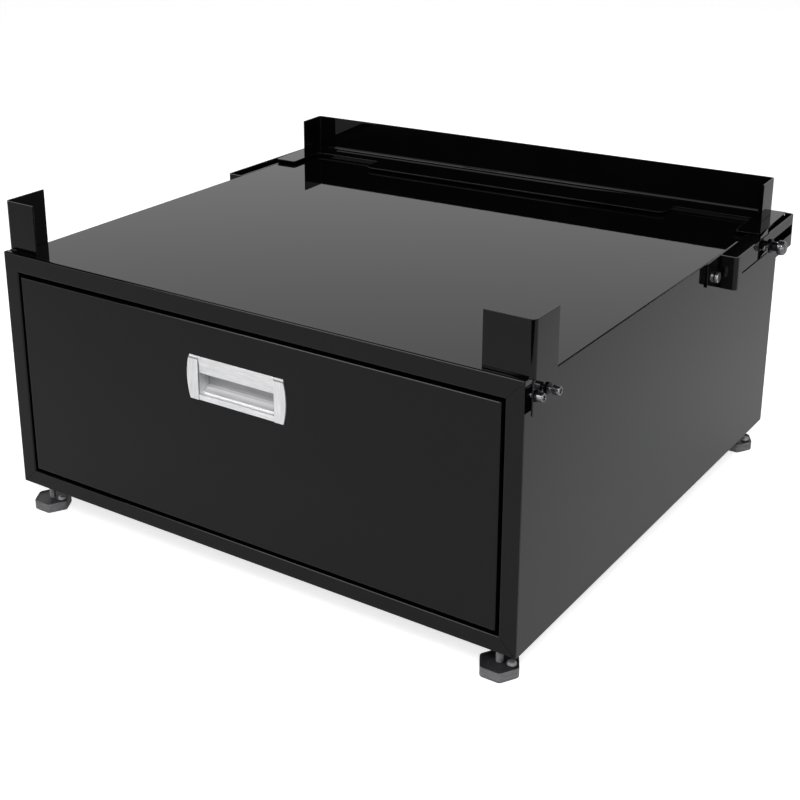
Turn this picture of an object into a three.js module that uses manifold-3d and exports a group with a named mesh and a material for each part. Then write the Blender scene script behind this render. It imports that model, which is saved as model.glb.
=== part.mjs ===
// Laundry pedestal: a low steel cabinet that a front-loading washer stands on. It has a mitred face
// frame, one full-width drawer on telescopic slides with a recessed aluminium pull, a corner bracket
// at each front corner, a folded rear rail on two slotted arms, and four screw-in levelling feet.
//
// Millimetres. X runs to the right, Y runs to the back and Z runs up. While it is built, the middle
// of the face frame's front is X = 0, Y = 0 and the underside of the cabinet is Z = 0. The last
// lines move the origin to the floor, under the middle of the whole part.

import * as THREE from 'three';
import { mergeVertices } from 'three/addons/utils/BufferGeometryUtils.js';
import Module from 'manifold-3d';

const wasm = await Module();
wasm.setup();

// ---------------------------------------------------------------- driving dimensions

const fit = 0.3; // clearance between neighbouring pieces

// Cabinet
const cabinetWidth = 686;
const cabinetDepth = 675;
const frameHeight = 296;
const deckDrop = 7; // the deck lies this far below the frame's top edge
const panelSheet = 1.2;

// Face frame
const stileWidth = 20.2;
const topRailWidth = 22.7;
const bottomRailWidth = 19;
const frameLip = 15; // depth of the lips round the opening
const sideLip = 8; // depth of the stiles' lips inside the side panels
const crownLip = 6; // depth of the fold along the top edge
const crownBend = 2;
const footLip = 5; // depth of the fold along the bottom edge
const mitreSeam = 0.2;

// Hat channels under the deck
const braceHeight = 20;
const braceWidth = 60;
const braceFlange = 18;
const frontBraceInset = 70; // from the cabinet's front to the channel
const rearBraceInset = 115; // from the cabinet's back to the channel

// Drawer front
const reveal = 4; // gap between the drawer front and the frame
const frontDepth = 18;

// Drawer box
const boxBackGap = 75; // behind the box, to the cabinet's back
const boxBottom = 34;
const boxHeight = 186;
const boxFlange = 12;
const boxRivetHeights = [60, 190];

// Slides
const slideThickness = 12.7;
const slideHeight = 45;
const slideSheet = 1.2;
const slideZ = 110;
const slideFront = 22;
const outerLength = 550;
const middleLength = 500;
const innerLength = 530;
const slideFlange = 8.5;
const slideRivetDepths = [50, 280, 500]; // behind the slide's front end
const spacerDepths = [45, 500]; // behind the slide's front end
const spacerWidth = 40;
const spacerFoot = 12;
const spacerHeight = 40;

// Recessed pull
const pullZ = 206;
const pullLength = 126.6;
const pullHeight = 50.6;
const pullCup = 17.5; // depth of the cup behind the drawer front
const pullWall = 1.5;
const pullProud = 1; // height of the pull's rim above the drawer front
const capWidth = 12;
const capBow = 3.6;
const capProud = 1.8;
const sillHeight = 6.3;
const sillDepth = 4;
const lipHeight = 19;
const lipTilt = 2.2;
const pullScrewSpacing = 60;
const pullScrewRadius = 2;

// Rivets, formed in one with the piece that they hold
const rivetRadius = 2;
const rivetHeadRadius = 3.6;
const rivetHead = 1;

// Front corner brackets, each loose on two bolts
const bracketSheet = 2;
const bracketBend = 4;
const bracketTop = 354;
const bracketFoot = 259;
const bracketShoulder = 296; // underside of the leg that faces forward
const bracketTravel = 2.7;
const bracketBoltZ = 278;
const bracketBoltInset = 6;
const bracketBoltPitch = 22.5;
const bracketBoltRadius = 2.5;
const bracketHeadRadius = 4.6;
const bracketHeadLength = 8;
const bracketBoltReach = [8.6, 14.5]; // from the washer to the end of the head, front and rear bolt
const bracketWasherRadius = 5.7;
const bracketWasherThickness = 1.6;
const brackets = {
  right: { frontLeg: 55, sideLeg: 48, setBack: 7, standOff: fit + bracketTravel },
  left: { frontLeg: 45, sideLeg: 59, setBack: 10, standOff: fit },
};

// Slotted arms at the back of the side panels
const armSheet = 2;
const armBend = 3;
const armWidth = 23.7; // from the side panel to the outer face
const armHeight = 40.5;
const armInset = 15; // from the cabinet's back to the arm
const armLength = 192;
const armTilt = 1.9; // degrees, the back end of the right arm rising about its hex bolt
const armTab = 36; // the mounting tab reaches this far in front of the arm
const armTabRise = 11.5; // how far the tab's lower edge climbs towards its front
const slotHeight = 12.5;
const slotDrop = 24.5; // from the arm's top to the slot's lower edge
const slotBoltDrop = 5.5; // from the slot's upper edge to its bolt
const slotLength = 122;
const slotStrip = 4; // what closes the slot at the arm's back end
const slitLength = 49;
const slitHeight = 2.6;
const armBoltRadius = 4;
const armHeadFlats = 13;
const armHeadLength = 5.5;
const armBoltDrop = 23.5;
const armBoltInset = 11; // in front of the channel
const armRivetInset = 20; // from the arm's back end
const armRivetRadius = 4;

// Rear rail, which stands slightly askew in its slots
const railSheet = 2;
const railBend = 2;
const railInset = 45; // from the cabinet's back to the upright's front face, half-way along it
const railSkew = 3; // degrees, the right-hand end lying further back
const railTop = 341;
const railLift = 3; // height of the base flange above the deck
const railEndInset = 2; // from the side of the cabinet to the rail's end
const railReturn = 41;
const baseInset = 120; // from the side of the cabinet to the deep middle of the base flange
const baseDepth = 64;
const baseCorner = 12;
const endDepth = 29;
const wingInset = 19; // from the side of the cabinet to the wing's inner edge
const wingFrontDepth = 91;
const wingBackDepth = 18;
const wingCorner = 4;
const tabGap = 9.7; // between a tab and the arm's outer wall
const tabWidth = 30;
const tabLength = 36;
const railBoltSetback = 72.5; // slot bolt in front of the upright
const railBoltRadius = 4;
const railWasherRadius = 8.5;
const railWasherThickness = 2.2;
const railCollarRadius = 5.5;
const railCollarLength = 8;
const railHeadRadius = 9.2;
const railHeadLength = 9.5;
const railNutFlats = 13;
const railNutLength = 4;
const railNutGap = 0.7; // room for the skewed tab

// Levelling feet
const footInset = { front: 27.5, rear: 22 }; // from the side of the cabinet to the stud
const footFrontInset = 17.5;
const footBackInset = 30;
const footClear = 21; // from the pad to the cabinet
const padHeight = 12;
const padRadius = 23;
const padCorner = 3;
const studRadius = 4;
const studTop = 16.5;
const nutFlats = 18;
const nutHeight = 6;
const buttonRadius = 5.2;
const buttonHeight = 3.5;
const buttonOffset = [12.5, 3];

// ---------------------------------------------------------------- worked out from them

const halfWidth = cabinetWidth / 2;
const deckTop = frameHeight - deckDrop;
const deckUnder = deckTop - panelSheet;
const wallInside = halfWidth - panelSheet;
const openingHalf = halfWidth - stileWidth;
const openingTop = frameHeight - topRailWidth;
const openingBottom = bottomRailWidth;
const panelFront = panelSheet + fit;

const frontHalf = openingHalf - reveal;
const frontTop = openingTop - reveal;
const frontBottom = openingBottom + reveal;
const linerFront = frontDepth + fit;
const linerBack = linerFront + panelSheet;

const outerWeb = openingHalf - fit; // outer face of a slide's cabinet member
const innerWeb = outerWeb - slideThickness; // face of a slide's drawer member, on the drawer box
const boxHalf = innerWeb - fit;
const boxFront = linerBack + fit;
const boxBack = cabinetDepth - boxBackGap;
const boxTop = boxBottom + boxHeight;

const pullBottom = pullZ - pullHeight / 2;
const pullTop = pullZ + pullHeight / 2;
const trayHalf = pullLength / 2 - capWidth;
const trayTop = pullTop - sillHeight / 3;
const trayBottom = pullBottom + sillHeight - pullWall;

const armOuter = halfWidth + armWidth;
const armBack = cabinetDepth - armInset;
const armFront = armBack - armLength;
const slotFront = armBack - slotStrip - slotLength;
const armMiddle = (armFront - armTab + armBack) / 2;
const armInnerWall = halfWidth + fit + armSheet;
const slotBottom = deckTop - slotDrop;
const slotZ = slotBottom + slotHeight - slotBoltDrop;
const tilt = THREE.MathUtils.degToRad(armTilt);

const railBase = deckTop + railLift;
const railBaseTop = railBase + railSheet;
const railY = cabinetDepth - railInset;
const railHalfLength = halfWidth - railEndInset;
const baseHalfWidth = halfWidth - baseInset;
const wingInner = halfWidth - wingInset;
const tabOuter = armOuter - armSheet - tabGap;
const skew = THREE.MathUtils.degToRad(railSkew);

const padTop = -footClear;

/** The four feet, with the name and the place of each. */
const footRows = { front: footFrontInset, rear: cabinetDepth - footBackInset };
const footPlaces = Object.entries(footRows).flatMap(([row, y]) => (
  Object.entries({ left: -1, right: 1 }).map(([side, sign]) => (
    { name: `${row}_${side}`, x: sign * (halfWidth - footInset[row]), y }
  ))
));

// ---------------------------------------------------------------- finishes

const finishes = {
  glossBlack: { color: 0x1b1b1d, roughness: 0.12, metalness: 0 },
  satinBlack: { color: 0x202022, roughness: 0.35, metalness: 0 },
  zinc: { color: 0xb9bcc0, roughness: 0.35, metalness: 1 },
  darkZinc: { color: 0x3c3d40, roughness: 0.4, metalness: 1 },
  aluminium: { color: 0xd3d5d6, roughness: 0.32, metalness: 1 },
  darkPlastic: { color: 0x47484b, roughness: 0.5, metalness: 0 },
};

// ---------------------------------------------------------------- solids

/** Turns a closed three.js geometry into a solid that can be cut and joined. */
function toSolid(geometry) {
  geometry.deleteAttribute('normal');
  geometry.deleteAttribute('uv');
  const merged = mergeVertices(geometry, 1e-4);
  const vertProperties = Float32Array.from(merged.attributes.position.array);
  const triVerts = Uint32Array.from(merged.index.array);
  return new wasm.Manifold(new wasm.Mesh({ numProp: 3, vertProperties, triVerts }));
}

/** Turns a solid back into a geometry. */
function toGeometry(solid) {
  const { vertProperties, triVerts } = solid.getMesh();
  const geometry = new THREE.BufferGeometry();
  geometry.setAttribute('position', new THREE.BufferAttribute(vertProperties, 3));
  geometry.setIndex(new THREE.BufferAttribute(triVerts, 1));
  geometry.computeVertexNormals();
  return geometry;
}

/** A box between two values on each axis. */
function block([x0, x1], [y0, y1], [z0, z1]) {
  const geometry = new THREE.BoxGeometry(x1 - x0, y1 - y0, z1 - z0);
  geometry.translate((x0 + x1) / 2, (y0 + y1) / 2, (z0 + z1) / 2);
  return toSolid(geometry);
}

/** A round or many-sided bar along an axis, centred on the other two coordinates. */
function bar(axis, [a, b], radius, from, to, sides = 16) {
  const geometry = new THREE.CylinderGeometry(radius, radius, to - from, sides);
  geometry.rotateY(Math.PI / sides);
  const middle = (from + to) / 2;
  if (axis === 'x') geometry.rotateZ(Math.PI / 2).translate(middle, a, b);
  if (axis === 'y') geometry.translate(a, middle, b);
  if (axis === 'z') geometry.rotateX(Math.PI / 2).translate(a, b, middle);
  return toSolid(geometry);
}

/** A hexagonal bar, given across its flats. */
function hexBar(axis, centre, flats, from, to) {
  return bar(axis, centre, flats / Math.sqrt(3), from, to, 6);
}

const extrude = (shape, depth) => new THREE.ExtrudeGeometry(shape, { depth, bevelEnabled: false, curveSegments: 8 });

/** A shape drawn in Y and Z, extruded along X. */
function alongX(shape, x0, x1) {
  const turn = new THREE.Matrix4().makeBasis(
    new THREE.Vector3(0, 1, 0),
    new THREE.Vector3(0, 0, 1),
    new THREE.Vector3(1, 0, 0),
  );
  return toSolid(extrude(shape, x1 - x0).applyMatrix4(turn).translate(x0, 0, 0));
}

/** A shape drawn in X and Z, extruded along Y. */
function alongY(shape, y0, y1) {
  const turn = new THREE.Matrix4().makeBasis(
    new THREE.Vector3(1, 0, 0),
    new THREE.Vector3(0, 0, 1),
    new THREE.Vector3(0, -1, 0),
  );
  return toSolid(extrude(shape, y1 - y0).applyMatrix4(turn).translate(0, y1, 0));
}

/** A shape drawn in X and Y, extruded along Z. */
function alongZ(shape, z0, z1) {
  return toSolid(extrude(shape, z1 - z0).translate(0, 0, z0));
}

const vectors = (points) => points.map(([x, y]) => new THREE.Vector2(x, y));
const outline = (points) => new THREE.Shape(vectors(points));

/** The arc that rounds a corner, as points. A radius of 0 keeps the corner. */
function corner(before, at, after, radius, steps = 4) {
  if (radius <= 0) return [at];
  const back = before.clone().sub(at).normalize();
  const on = after.clone().sub(at).normalize();
  const half = Math.acos(back.dot(on)) / 2;
  const start = at.clone().addScaledVector(back, radius / Math.tan(half));
  const end = at.clone().addScaledVector(on, radius / Math.tan(half));
  const centre = at.clone().addScaledVector(back.add(on).normalize(), radius / Math.sin(half));
  const from = start.sub(centre);
  const to = end.sub(centre);
  const sweep = Math.atan2(from.cross(to), from.dot(to));
  return Array.from({ length: steps + 1 }, (_, i) => (
    from.clone().rotateAround(new THREE.Vector2(), (sweep * i) / steps).add(centre)
  ));
}

/** A closed outline whose corners are all rounded. */
function roundedOutline(points, radius) {
  const line = vectors(points);
  const count = line.length;
  return new THREE.Shape(line.flatMap((at, i) => (
    corner(line[(i + count - 1) % count], at, line[(i + 1) % count], radius)
  )));
}

/**
 * The section of a folded sheet. The points are one face of the sheet, which lies to the right of
 * them as they run, and bend is the inside radius of each fold.
 */
function foldedSection(points, thickness, bend) {
  const line = vectors(points);
  const last = line.length - 1;
  const normals = line.slice(1).map((point, i) => {
    const run = point.clone().sub(line[i]).normalize();
    return new THREE.Vector2(run.y, -run.x);
  });
  const other = line.map((point, i) => {
    const a = normals[Math.max(i - 1, 0)];
    const b = normals[Math.min(i, last - 1)];
    return point.clone().addScaledVector(a.clone().add(b), thickness / (1 + a.dot(b)));
  });
  const face = (row, side) => row.flatMap((at, i) => {
    if (i === 0 || i === last) return [at];
    const turnsLeft = normals[i - 1].cross(normals[i]) > 0;
    const inside = side === 'given' ? turnsLeft : !turnsLeft;
    return corner(row[i - 1], at, row[i + 1], inside ? bend : bend + thickness);
  });
  return new THREE.Shape([...face(line, 'given'), ...face(other, 'other').reverse()]);
}

const join = (...solids) => solids.reduce((sum, solid) => sum.add(solid));
const cut = (solid, ...tools) => tools.reduce((rest, tool) => rest.subtract(tool), solid);

const sides = ['left', 'right'];

/** Pieces are drawn for the right-hand side and mirrored for the left. */
const onSide = (solid, side) => (side === 'left' ? solid.mirror([1, 0, 0]) : solid);

/** A rivet along X, from its root in one piece to the head that holds another one. */
function rivetX(place, root, seat) {
  const end = seat + Math.sign(seat - root) * rivetHead;
  return join(
    bar('x', place, rivetRadius, Math.min(root, end), Math.max(root, end)),
    bar('x', place, rivetHeadRadius, Math.min(seat, end), Math.max(seat, end)),
  );
}

function addNode(group, name, solid, finish) {
  const mesh = new THREE.Mesh(toGeometry(solid), new THREE.MeshStandardMaterial(finishes[finish]));
  mesh.name = name;
  group.add(mesh);
}

// ---------------------------------------------------------------- cabinet

/** Where the bracket bolts of one side pass through its panel, as Y and Z. */
function bracketBoltPlaces(side) {
  const first = brackets[side].setBack + bracketBoltInset;
  return [0, bracketBoltPitch].map((step) => [first + step, bracketBoltZ]);
}

const armBoltPlace = [armFront - armBoltInset, deckTop - armBoltDrop];
const armRivetPlace = [armBack - armRivetInset, deckTop - armBoltDrop];

/**
 * Where a point of the arm comes to lie, as Y and Z. Both arms are the same part: the right one is
 * tilted about its hex bolt, and the left one is turned end for end.
 */
function onArm(side, [y, z]) {
  if (side === 'left') return [2 * armMiddle - y, z];
  return new THREE.Vector2(y, z).rotateAround(new THREE.Vector2(...armBoltPlace), tilt).toArray();
}

/** Holes along X through whatever lies between two values. */
const holesX = (places, radius, x0, x1) => places.map((place) => bar('x', place, radius + fit, x0, x1));

function addShell(group) {
  for (const side of sides) {
    const through = [wallInside - panelSheet, halfWidth + panelSheet];
    const panel = cut(
      block([wallInside, halfWidth], [panelFront, cabinetDepth], [0, deckUnder - fit]),
      ...holesX(bracketBoltPlaces(side), bracketBoltRadius, ...through),
      ...holesX([onArm(side, armBoltPlace)], armBoltRadius, ...through),
      ...holesX([onArm(side, armRivetPlace)], armRivetRadius, ...through),
    );
    addNode(group, `side_panel_${side}`, onSide(panel, side), 'glossBlack');
  }
  const deck = block([-halfWidth, halfWidth], [panelFront, cabinetDepth], [deckUnder, deckTop]);
  addNode(group, 'top_panel', deck, 'glossBlack');

  const inside = [-wallInside + fit, wallInside - fit];
  const rearFront = cabinetDepth - panelSheet;
  const rear = block(inside, [rearFront, cabinetDepth], [0, deckUnder - fit]);
  addNode(group, 'rear_panel', rear, 'glossBlack');

  const pan = block(inside, [footLip + fit, rearFront - fit], [0, panelSheet]);
  const nuts = footPlaces.map(({ x, y }) => hexBar('z', [x, y], nutFlats, -nutHeight, panelSheet / 2));
  const bores = footPlaces.map(({ x, y }) => (
    bar('z', [x, y], studRadius + fit, -nutHeight - 1, 2 * panelSheet)
  ));
  addNode(group, 'base_pan', cut(join(pan, ...nuts), ...bores), 'satinBlack');
}

/** The face frame: four lipped members that meet in mitres. */
function addFaceFrame(group) {
  const corners = {
    topOut: [halfWidth, frameHeight],
    topIn: [openingHalf, openingTop],
    bottomOut: [halfWidth, 0],
    bottomIn: [openingHalf, openingBottom],
  };
  const flip = ([x, z]) => [-x, z];
  const prism = (points, shiftX, shiftZ) => (
    alongY(outline(points), 0, frameLip).translate(shiftX, 0, shiftZ)
  );

  const crown = foldedSection(
    [[crownLip, frameHeight], [0, frameHeight], [0, openingTop], [frameLip, openingTop]].reverse(),
    panelSheet,
    crownBend,
  );
  const topWedge = prism([corners.topOut, flip(corners.topOut), flip(corners.topIn), corners.topIn], 0, mitreSeam);
  const top = alongX(crown, -halfWidth, halfWidth).intersect(topWedge);
  addNode(group, 'frame_top_rail', top, 'satinBlack');

  const foot = foldedSection(
    [[frameLip, openingBottom], [0, openingBottom], [0, 0], [footLip, 0]].reverse(),
    panelSheet,
    panelSheet / 2,
  );
  const footWedge = prism(
    [corners.bottomIn, flip(corners.bottomIn), flip(corners.bottomOut), corners.bottomOut],
    0,
    -mitreSeam,
  );
  const bottom = alongX(foot, -halfWidth, halfWidth).intersect(footWedge);
  const besidePanel = block([wallInside - fit, halfWidth + 1], [panelSheet, frameLip], [-1, openingBottom]);
  addNode(
    group,
    'frame_bottom_rail',
    cut(bottom, ...sides.map((side) => onSide(besidePanel, side))),
    'satinBlack',
  );

  const lipOuter = wallInside - fit;
  const post = join(
    block([openingHalf, halfWidth], [0, panelSheet], [0, frameHeight]),
    block([openingHalf, openingHalf + panelSheet], [0, frameLip], [0, frameHeight]),
    block([lipOuter - panelSheet, lipOuter], [0, sideLip], [0, deckUnder - fit]),
  );
  const postWedge = prism([corners.bottomOut, corners.topOut, corners.topIn, corners.bottomIn], mitreSeam, 0);
  for (const side of sides) {
    addNode(group, `frame_stile_${side}`, onSide(post.intersect(postWedge), side), 'satinBlack');
  }
}

/** Hat channels under the deck, which carry the washer's load to the side panels. */
function addBraces(group) {
  const top = deckUnder - fit;
  const low = top - braceHeight + panelSheet;
  const inside = wallInside - fit;
  for (const [name, y] of [['front', frontBraceInset], ['rear', cabinetDepth - rearBraceInset]]) {
    const hat = foldedSection([
      [y - braceFlange, top],
      [y, top],
      [y, low],
      [y + braceWidth, low],
      [y + braceWidth, top],
      [y + braceWidth + braceFlange, top],
    ], panelSheet, panelSheet);
    addNode(group, `top_brace_${name}`, alongX(hat, -inside, inside), 'satinBlack');
  }
}

// ---------------------------------------------------------------- slides

/** A C-shaped slide member, from its web to its open side, round the slide's middle height. */
function slideMember(web, open, halfHeight, y0, y1) {
  const toOpen = Math.sign(open - web);
  const between = (a, b) => (a < b ? [a, b] : [b, a]);
  const heights = (half) => [slideZ - half, slideZ + half];
  return cut(
    block(between(web, open), [y0, y1], heights(halfHeight)),
    block(between(web + toOpen * slideSheet, open + toOpen), [y0 - 1, y1 + 1], heights(halfHeight - slideSheet)),
  );
}

const nestStep = slideSheet + fit; // each member is this much smaller than the one round it
const outerHalf = slideHeight / 2;
const middleHalf = outerHalf - nestStep;
const innerHalf = middleHalf - nestStep;
const middleWeb = outerWeb - 2 * nestStep;

function addOuterSlides(group) {
  const starts = spacerDepths.map((depth) => slideFront + depth);
  const rivetPlaces = starts.map((y) => [y + spacerWidth / 2, slideZ]);
  const spacerFace = outerWeb + fit;
  const spacerBack = spacerFace + panelSheet;
  const footFace = wallInside - fit - panelSheet;

  const member = slideMember(outerWeb, outerWeb - slideFlange, outerHalf, slideFront, slideFront + outerLength);
  const rivets = rivetPlaces.map((place) => rivetX(place, outerWeb - slideSheet / 2, spacerBack + fit));
  const hats = starts.flatMap((y) => [
    [footFace, y],
    [spacerFace, y],
    [spacerFace, y + spacerWidth],
    [footFace, y + spacerWidth],
  ]);
  const strip = foldedSection([
    [footFace, starts[0] - spacerFoot],
    ...hats,
    [footFace, starts.at(-1) + spacerWidth + spacerFoot],
  ], panelSheet, panelSheet);
  const spacer = cut(
    alongZ(strip, slideZ - spacerHeight / 2, slideZ + spacerHeight / 2),
    ...holesX(rivetPlaces, rivetRadius, spacerFace - 1, spacerBack + 1),
  );
  for (const side of sides) {
    addNode(group, `slide_outer_${side}`, onSide(join(member, ...rivets), side), 'zinc');
    addNode(group, `slide_spacer_${side}`, onSide(spacer, side), 'zinc');
  }
}

function addMiddleSlides(group) {
  const start = slideFront + (outerLength - middleLength) / 5;
  const member = slideMember(middleWeb, middleWeb - slideFlange + fit, middleHalf, start, start + middleLength);
  for (const side of sides) addNode(group, `slide_middle_${side}`, onSide(member, side), 'zinc');
}

// ---------------------------------------------------------------- drawer

const boxRivetPlaces = boxRivetHeights.map((z) => [boxHalf - boxFlange / 2 - panelSheet, z]);
const pullScrewPlaces = [-1, 1].map((way) => [(way * pullScrewSpacing) / 2, pullZ]);
const holesY = (places, radius, y0, y1) => places.map((place) => bar('y', place, radius + fit, y0, y1));

function addDrawerFront(group) {
  const hollow = block(
    [-frontHalf + panelSheet, frontHalf - panelSheet],
    [panelSheet, frontDepth + 1],
    [frontBottom + panelSheet, frontTop - panelSheet],
  );
  const cutOutHalf = trayHalf + 2 * fit + pullWall;
  const cutOut = block([-cutOutHalf, cutOutHalf], [-1, frontDepth], [trayBottom - fit, trayTop + fit]);
  const front = cut(
    block([-frontHalf, frontHalf], [0, frontDepth], [frontBottom, frontTop]),
    hollow,
    cutOut,
  );
  addNode(group, 'drawer_front', front, 'satinBlack');

  const liner = block([-frontHalf, frontHalf], [linerFront, linerBack], [frontBottom, frontTop]);
  const mirrored = boxRivetPlaces.map(([x, z]) => [-x, z]);
  const through = [linerFront - 1, linerBack + 1];
  addNode(group, 'drawer_front_liner', cut(
    liner,
    ...holesY([...boxRivetPlaces, ...mirrored], rivetRadius, ...through),
    ...holesY(pullScrewPlaces, pullScrewRadius, ...through),
  ), 'satinBlack');
}

function addDrawerBox(group) {
  const slideRivetPlaces = slideRivetDepths.map((depth) => [slideFront + depth, slideZ]);
  const frontRivets = boxRivetPlaces.map((place) => join(
    bar('y', place, rivetRadius, frontDepth - rivetHead, boxFront + panelSheet / 2),
    bar('y', place, rivetHeadRadius, frontDepth - rivetHead, frontDepth),
  ));
  const wall = cut(
    alongZ(foldedSection([
      [boxHalf, boxBack],
      [boxHalf, boxFront],
      [boxHalf - boxFlange, boxFront],
    ], panelSheet, panelSheet), boxBottom, boxTop),
    ...holesX(slideRivetPlaces, rivetRadius, boxHalf - 2 * panelSheet, innerWeb),
  );
  const member = slideMember(
    innerWeb,
    innerWeb + slideFlange - 2 * nestStep,
    innerHalf,
    slideFront,
    slideFront + innerLength,
  );
  const slideRivets = slideRivetPlaces.map((place) => (
    rivetX(place, innerWeb + slideSheet / 2, boxHalf - panelSheet - fit)
  ));
  for (const side of sides) {
    addNode(group, `drawer_side_${side}`, onSide(join(wall, ...frontRivets), side), 'satinBlack');
    addNode(group, `slide_inner_${side}`, onSide(join(member, ...slideRivets), side), 'zinc');
  }

  const inside = boxHalf - panelSheet - rivetHead - 2 * fit;
  const backFront = boxBack - panelSheet;
  const ends = boxHalf - panelSheet - fit;
  addNode(group, 'drawer_back', block([-ends, ends], [backFront, boxBack], [boxBottom, boxTop]), 'satinBlack');
  const floorFront = boxFront + panelSheet + fit;
  const floor = block([-inside, inside], [floorFront, backFront - fit], [boxBottom, boxBottom + panelSheet]);
  addNode(group, 'drawer_bottom', floor, 'satinBlack');
}

/** The extruded part of the pull: sill, curved cup and tilted finger lip, drawn in Y and Z. */
function pullSection() {
  const lipBottom = pullTop - lipHeight - 1;
  const cupInside = pullCup - pullWall;
  const floorZ = pullBottom + sillHeight;
  const scoopTop = floorZ + 15;
  const shape = new THREE.Shape();
  shape.moveTo(-pullProud, pullBottom);
  shape.lineTo(0, pullBottom);
  shape.lineTo(0, trayBottom);
  shape.lineTo(sillDepth + pullWall, trayBottom);
  shape.quadraticCurveTo(pullCup, trayBottom + pullWall, pullCup, scoopTop);
  shape.lineTo(pullCup, trayTop);
  shape.lineTo(0, trayTop);
  shape.lineTo(0, pullTop);
  shape.lineTo(-pullProud, pullTop);
  shape.lineTo(-pullProud, pullTop - 1);
  shape.lineTo(-pullProud + lipTilt, lipBottom);
  shape.lineTo(-pullProud + lipTilt + pullWall, lipBottom);
  shape.lineTo(-pullProud + lipTilt + pullWall, trayTop - pullWall);
  shape.lineTo(cupInside, trayTop - pullWall);
  shape.lineTo(cupInside, scoopTop);
  shape.quadraticCurveTo(cupInside, floorZ + 3, sillDepth + 2, floorZ + 2);
  shape.lineTo(sillDepth, floorZ + 2);
  shape.lineTo(sillDepth, floorZ);
  shape.lineTo(-pullProud, floorZ);
  shape.closePath();
  return shape;
}

/** A bowed end cap with the wall that closes the cup's end. */
function pullCap() {
  const inner = trayHalf + fit;
  const outer = pullLength / 2;
  const shape = new THREE.Shape();
  shape.moveTo(inner, pullBottom);
  shape.lineTo(outer, pullBottom);
  shape.quadraticCurveTo(outer + 2 * capBow, pullZ, outer, pullTop);
  shape.lineTo(inner, pullTop);
  shape.closePath();
  return join(
    alongY(shape, -capProud, 0),
    block([inner, inner + pullWall], [-1, pullCup], [trayBottom, trayTop]),
  );
}

function addPull(group) {
  addNode(group, 'pull_tray', alongX(pullSection(), -trayHalf, trayHalf), 'aluminium');
  for (const side of sides) addNode(group, `pull_cap_${side}`, onSide(pullCap(), side), 'aluminium');
  const seat = linerBack + fit;
  sides.forEach((side, i) => {
    const screw = join(
      bar('y', pullScrewPlaces[i], pullScrewRadius, pullCup + fit, seat + 1),
      bar('y', pullScrewPlaces[i], 2 * pullScrewRadius, seat, seat + pullScrewRadius),
    );
    addNode(group, `pull_screw_${side}`, screw, 'zinc');
  });
}

// ---------------------------------------------------------------- front corner brackets

/** One corner bracket: a leg across the front and a deeper leg down the side panel. */
function cornerBracket(side) {
  const { frontLeg, sideLeg, setBack, standOff } = brackets[side];
  const outer = halfWidth + standOff + bracketSheet;
  const back = setBack + sideLeg;
  const angle = foldedSection([
    [outer - frontLeg, setBack],
    [outer, setBack],
    [outer, back],
  ].reverse(), bracketSheet, bracketBend);
  const skirt = block([outer - bracketSheet, outer], [setBack, back], [bracketFoot, bracketShoulder]);
  return cut(
    join(alongZ(angle, bracketShoulder, bracketTop), skirt),
    ...holesX(bracketBoltPlaces(side), bracketBoltRadius, outer - 2 * bracketSheet, outer + bracketSheet),
  );
}

/** Long bolts through the side panel and the bracket, with washers that limit its travel. */
function addBracketBolts(group) {
  const washerFace = halfWidth + fit + bracketTravel + bracketSheet + fit;
  const washerBack = washerFace + bracketWasherThickness;
  for (const side of sides) {
    bracketBoltPlaces(side).forEach((place, i) => {
      const end = washerBack + bracketBoltReach[i];
      const bolt = join(
        bar('x', place, bracketBoltRadius, wallInside - 6, end - 1),
        bar('x', place, bracketHeadRadius, end - bracketHeadLength, end),
      );
      const washer = cut(
        bar('x', place, bracketWasherRadius, washerFace, washerBack, 20),
        bar('x', place, bracketBoltRadius + fit, washerFace - 1, washerBack + 1),
      );
      const row = ['front', 'rear'][i];
      addNode(group, `bracket_bolt_${side}_${row}`, onSide(bolt, side), 'zinc');
      addNode(group, `bracket_washer_${side}_${row}`, onSide(washer, side), 'darkZinc');
    });
  }
}

// ---------------------------------------------------------------- slotted arms

/** A channel open to the top and the bottom, with a mounting tab, a slot and a slit in front of it. */
function slottedArm() {
  const inner = halfWidth + fit;
  const bottom = deckTop - armHeight;
  const end = (y) => [
    [armOuter, armMiddle],
    [armOuter, y],
    [inner, y],
    [inner, armMiddle],
  ];
  const channel = join(...[end(armFront), end(armBack).reverse()].map((line) => (
    alongZ(foldedSection(line, armSheet, armBend), bottom, deckTop)
  )));
  const tab = block([inner, inner + armSheet], [armFront - armTab, armFront + armTab], [bottom, deckTop]);
  const underTab = alongX(outline([
    [armFront - armTab - 1, bottom - 1],
    [armFront, bottom - 1],
    [armFront, bottom],
    [armFront - armTab - 1, bottom + armTabRise],
  ]), inner - 1, inner + armSheet + 1);
  const wall = [armOuter - armSheet - 1, armOuter + 1];
  return cut(
    join(channel, tab),
    underTab,
    block(wall, [slotFront, slotFront + slotLength], [slotBottom, slotBottom + slotHeight]),
    block(wall, [slotFront - slitLength, slotFront + 1], [slotBottom, slotBottom + slitHeight]),
    ...holesX([armBoltPlace], armBoltRadius, inner - 1, inner + armSheet + 1),
  );
}

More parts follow.
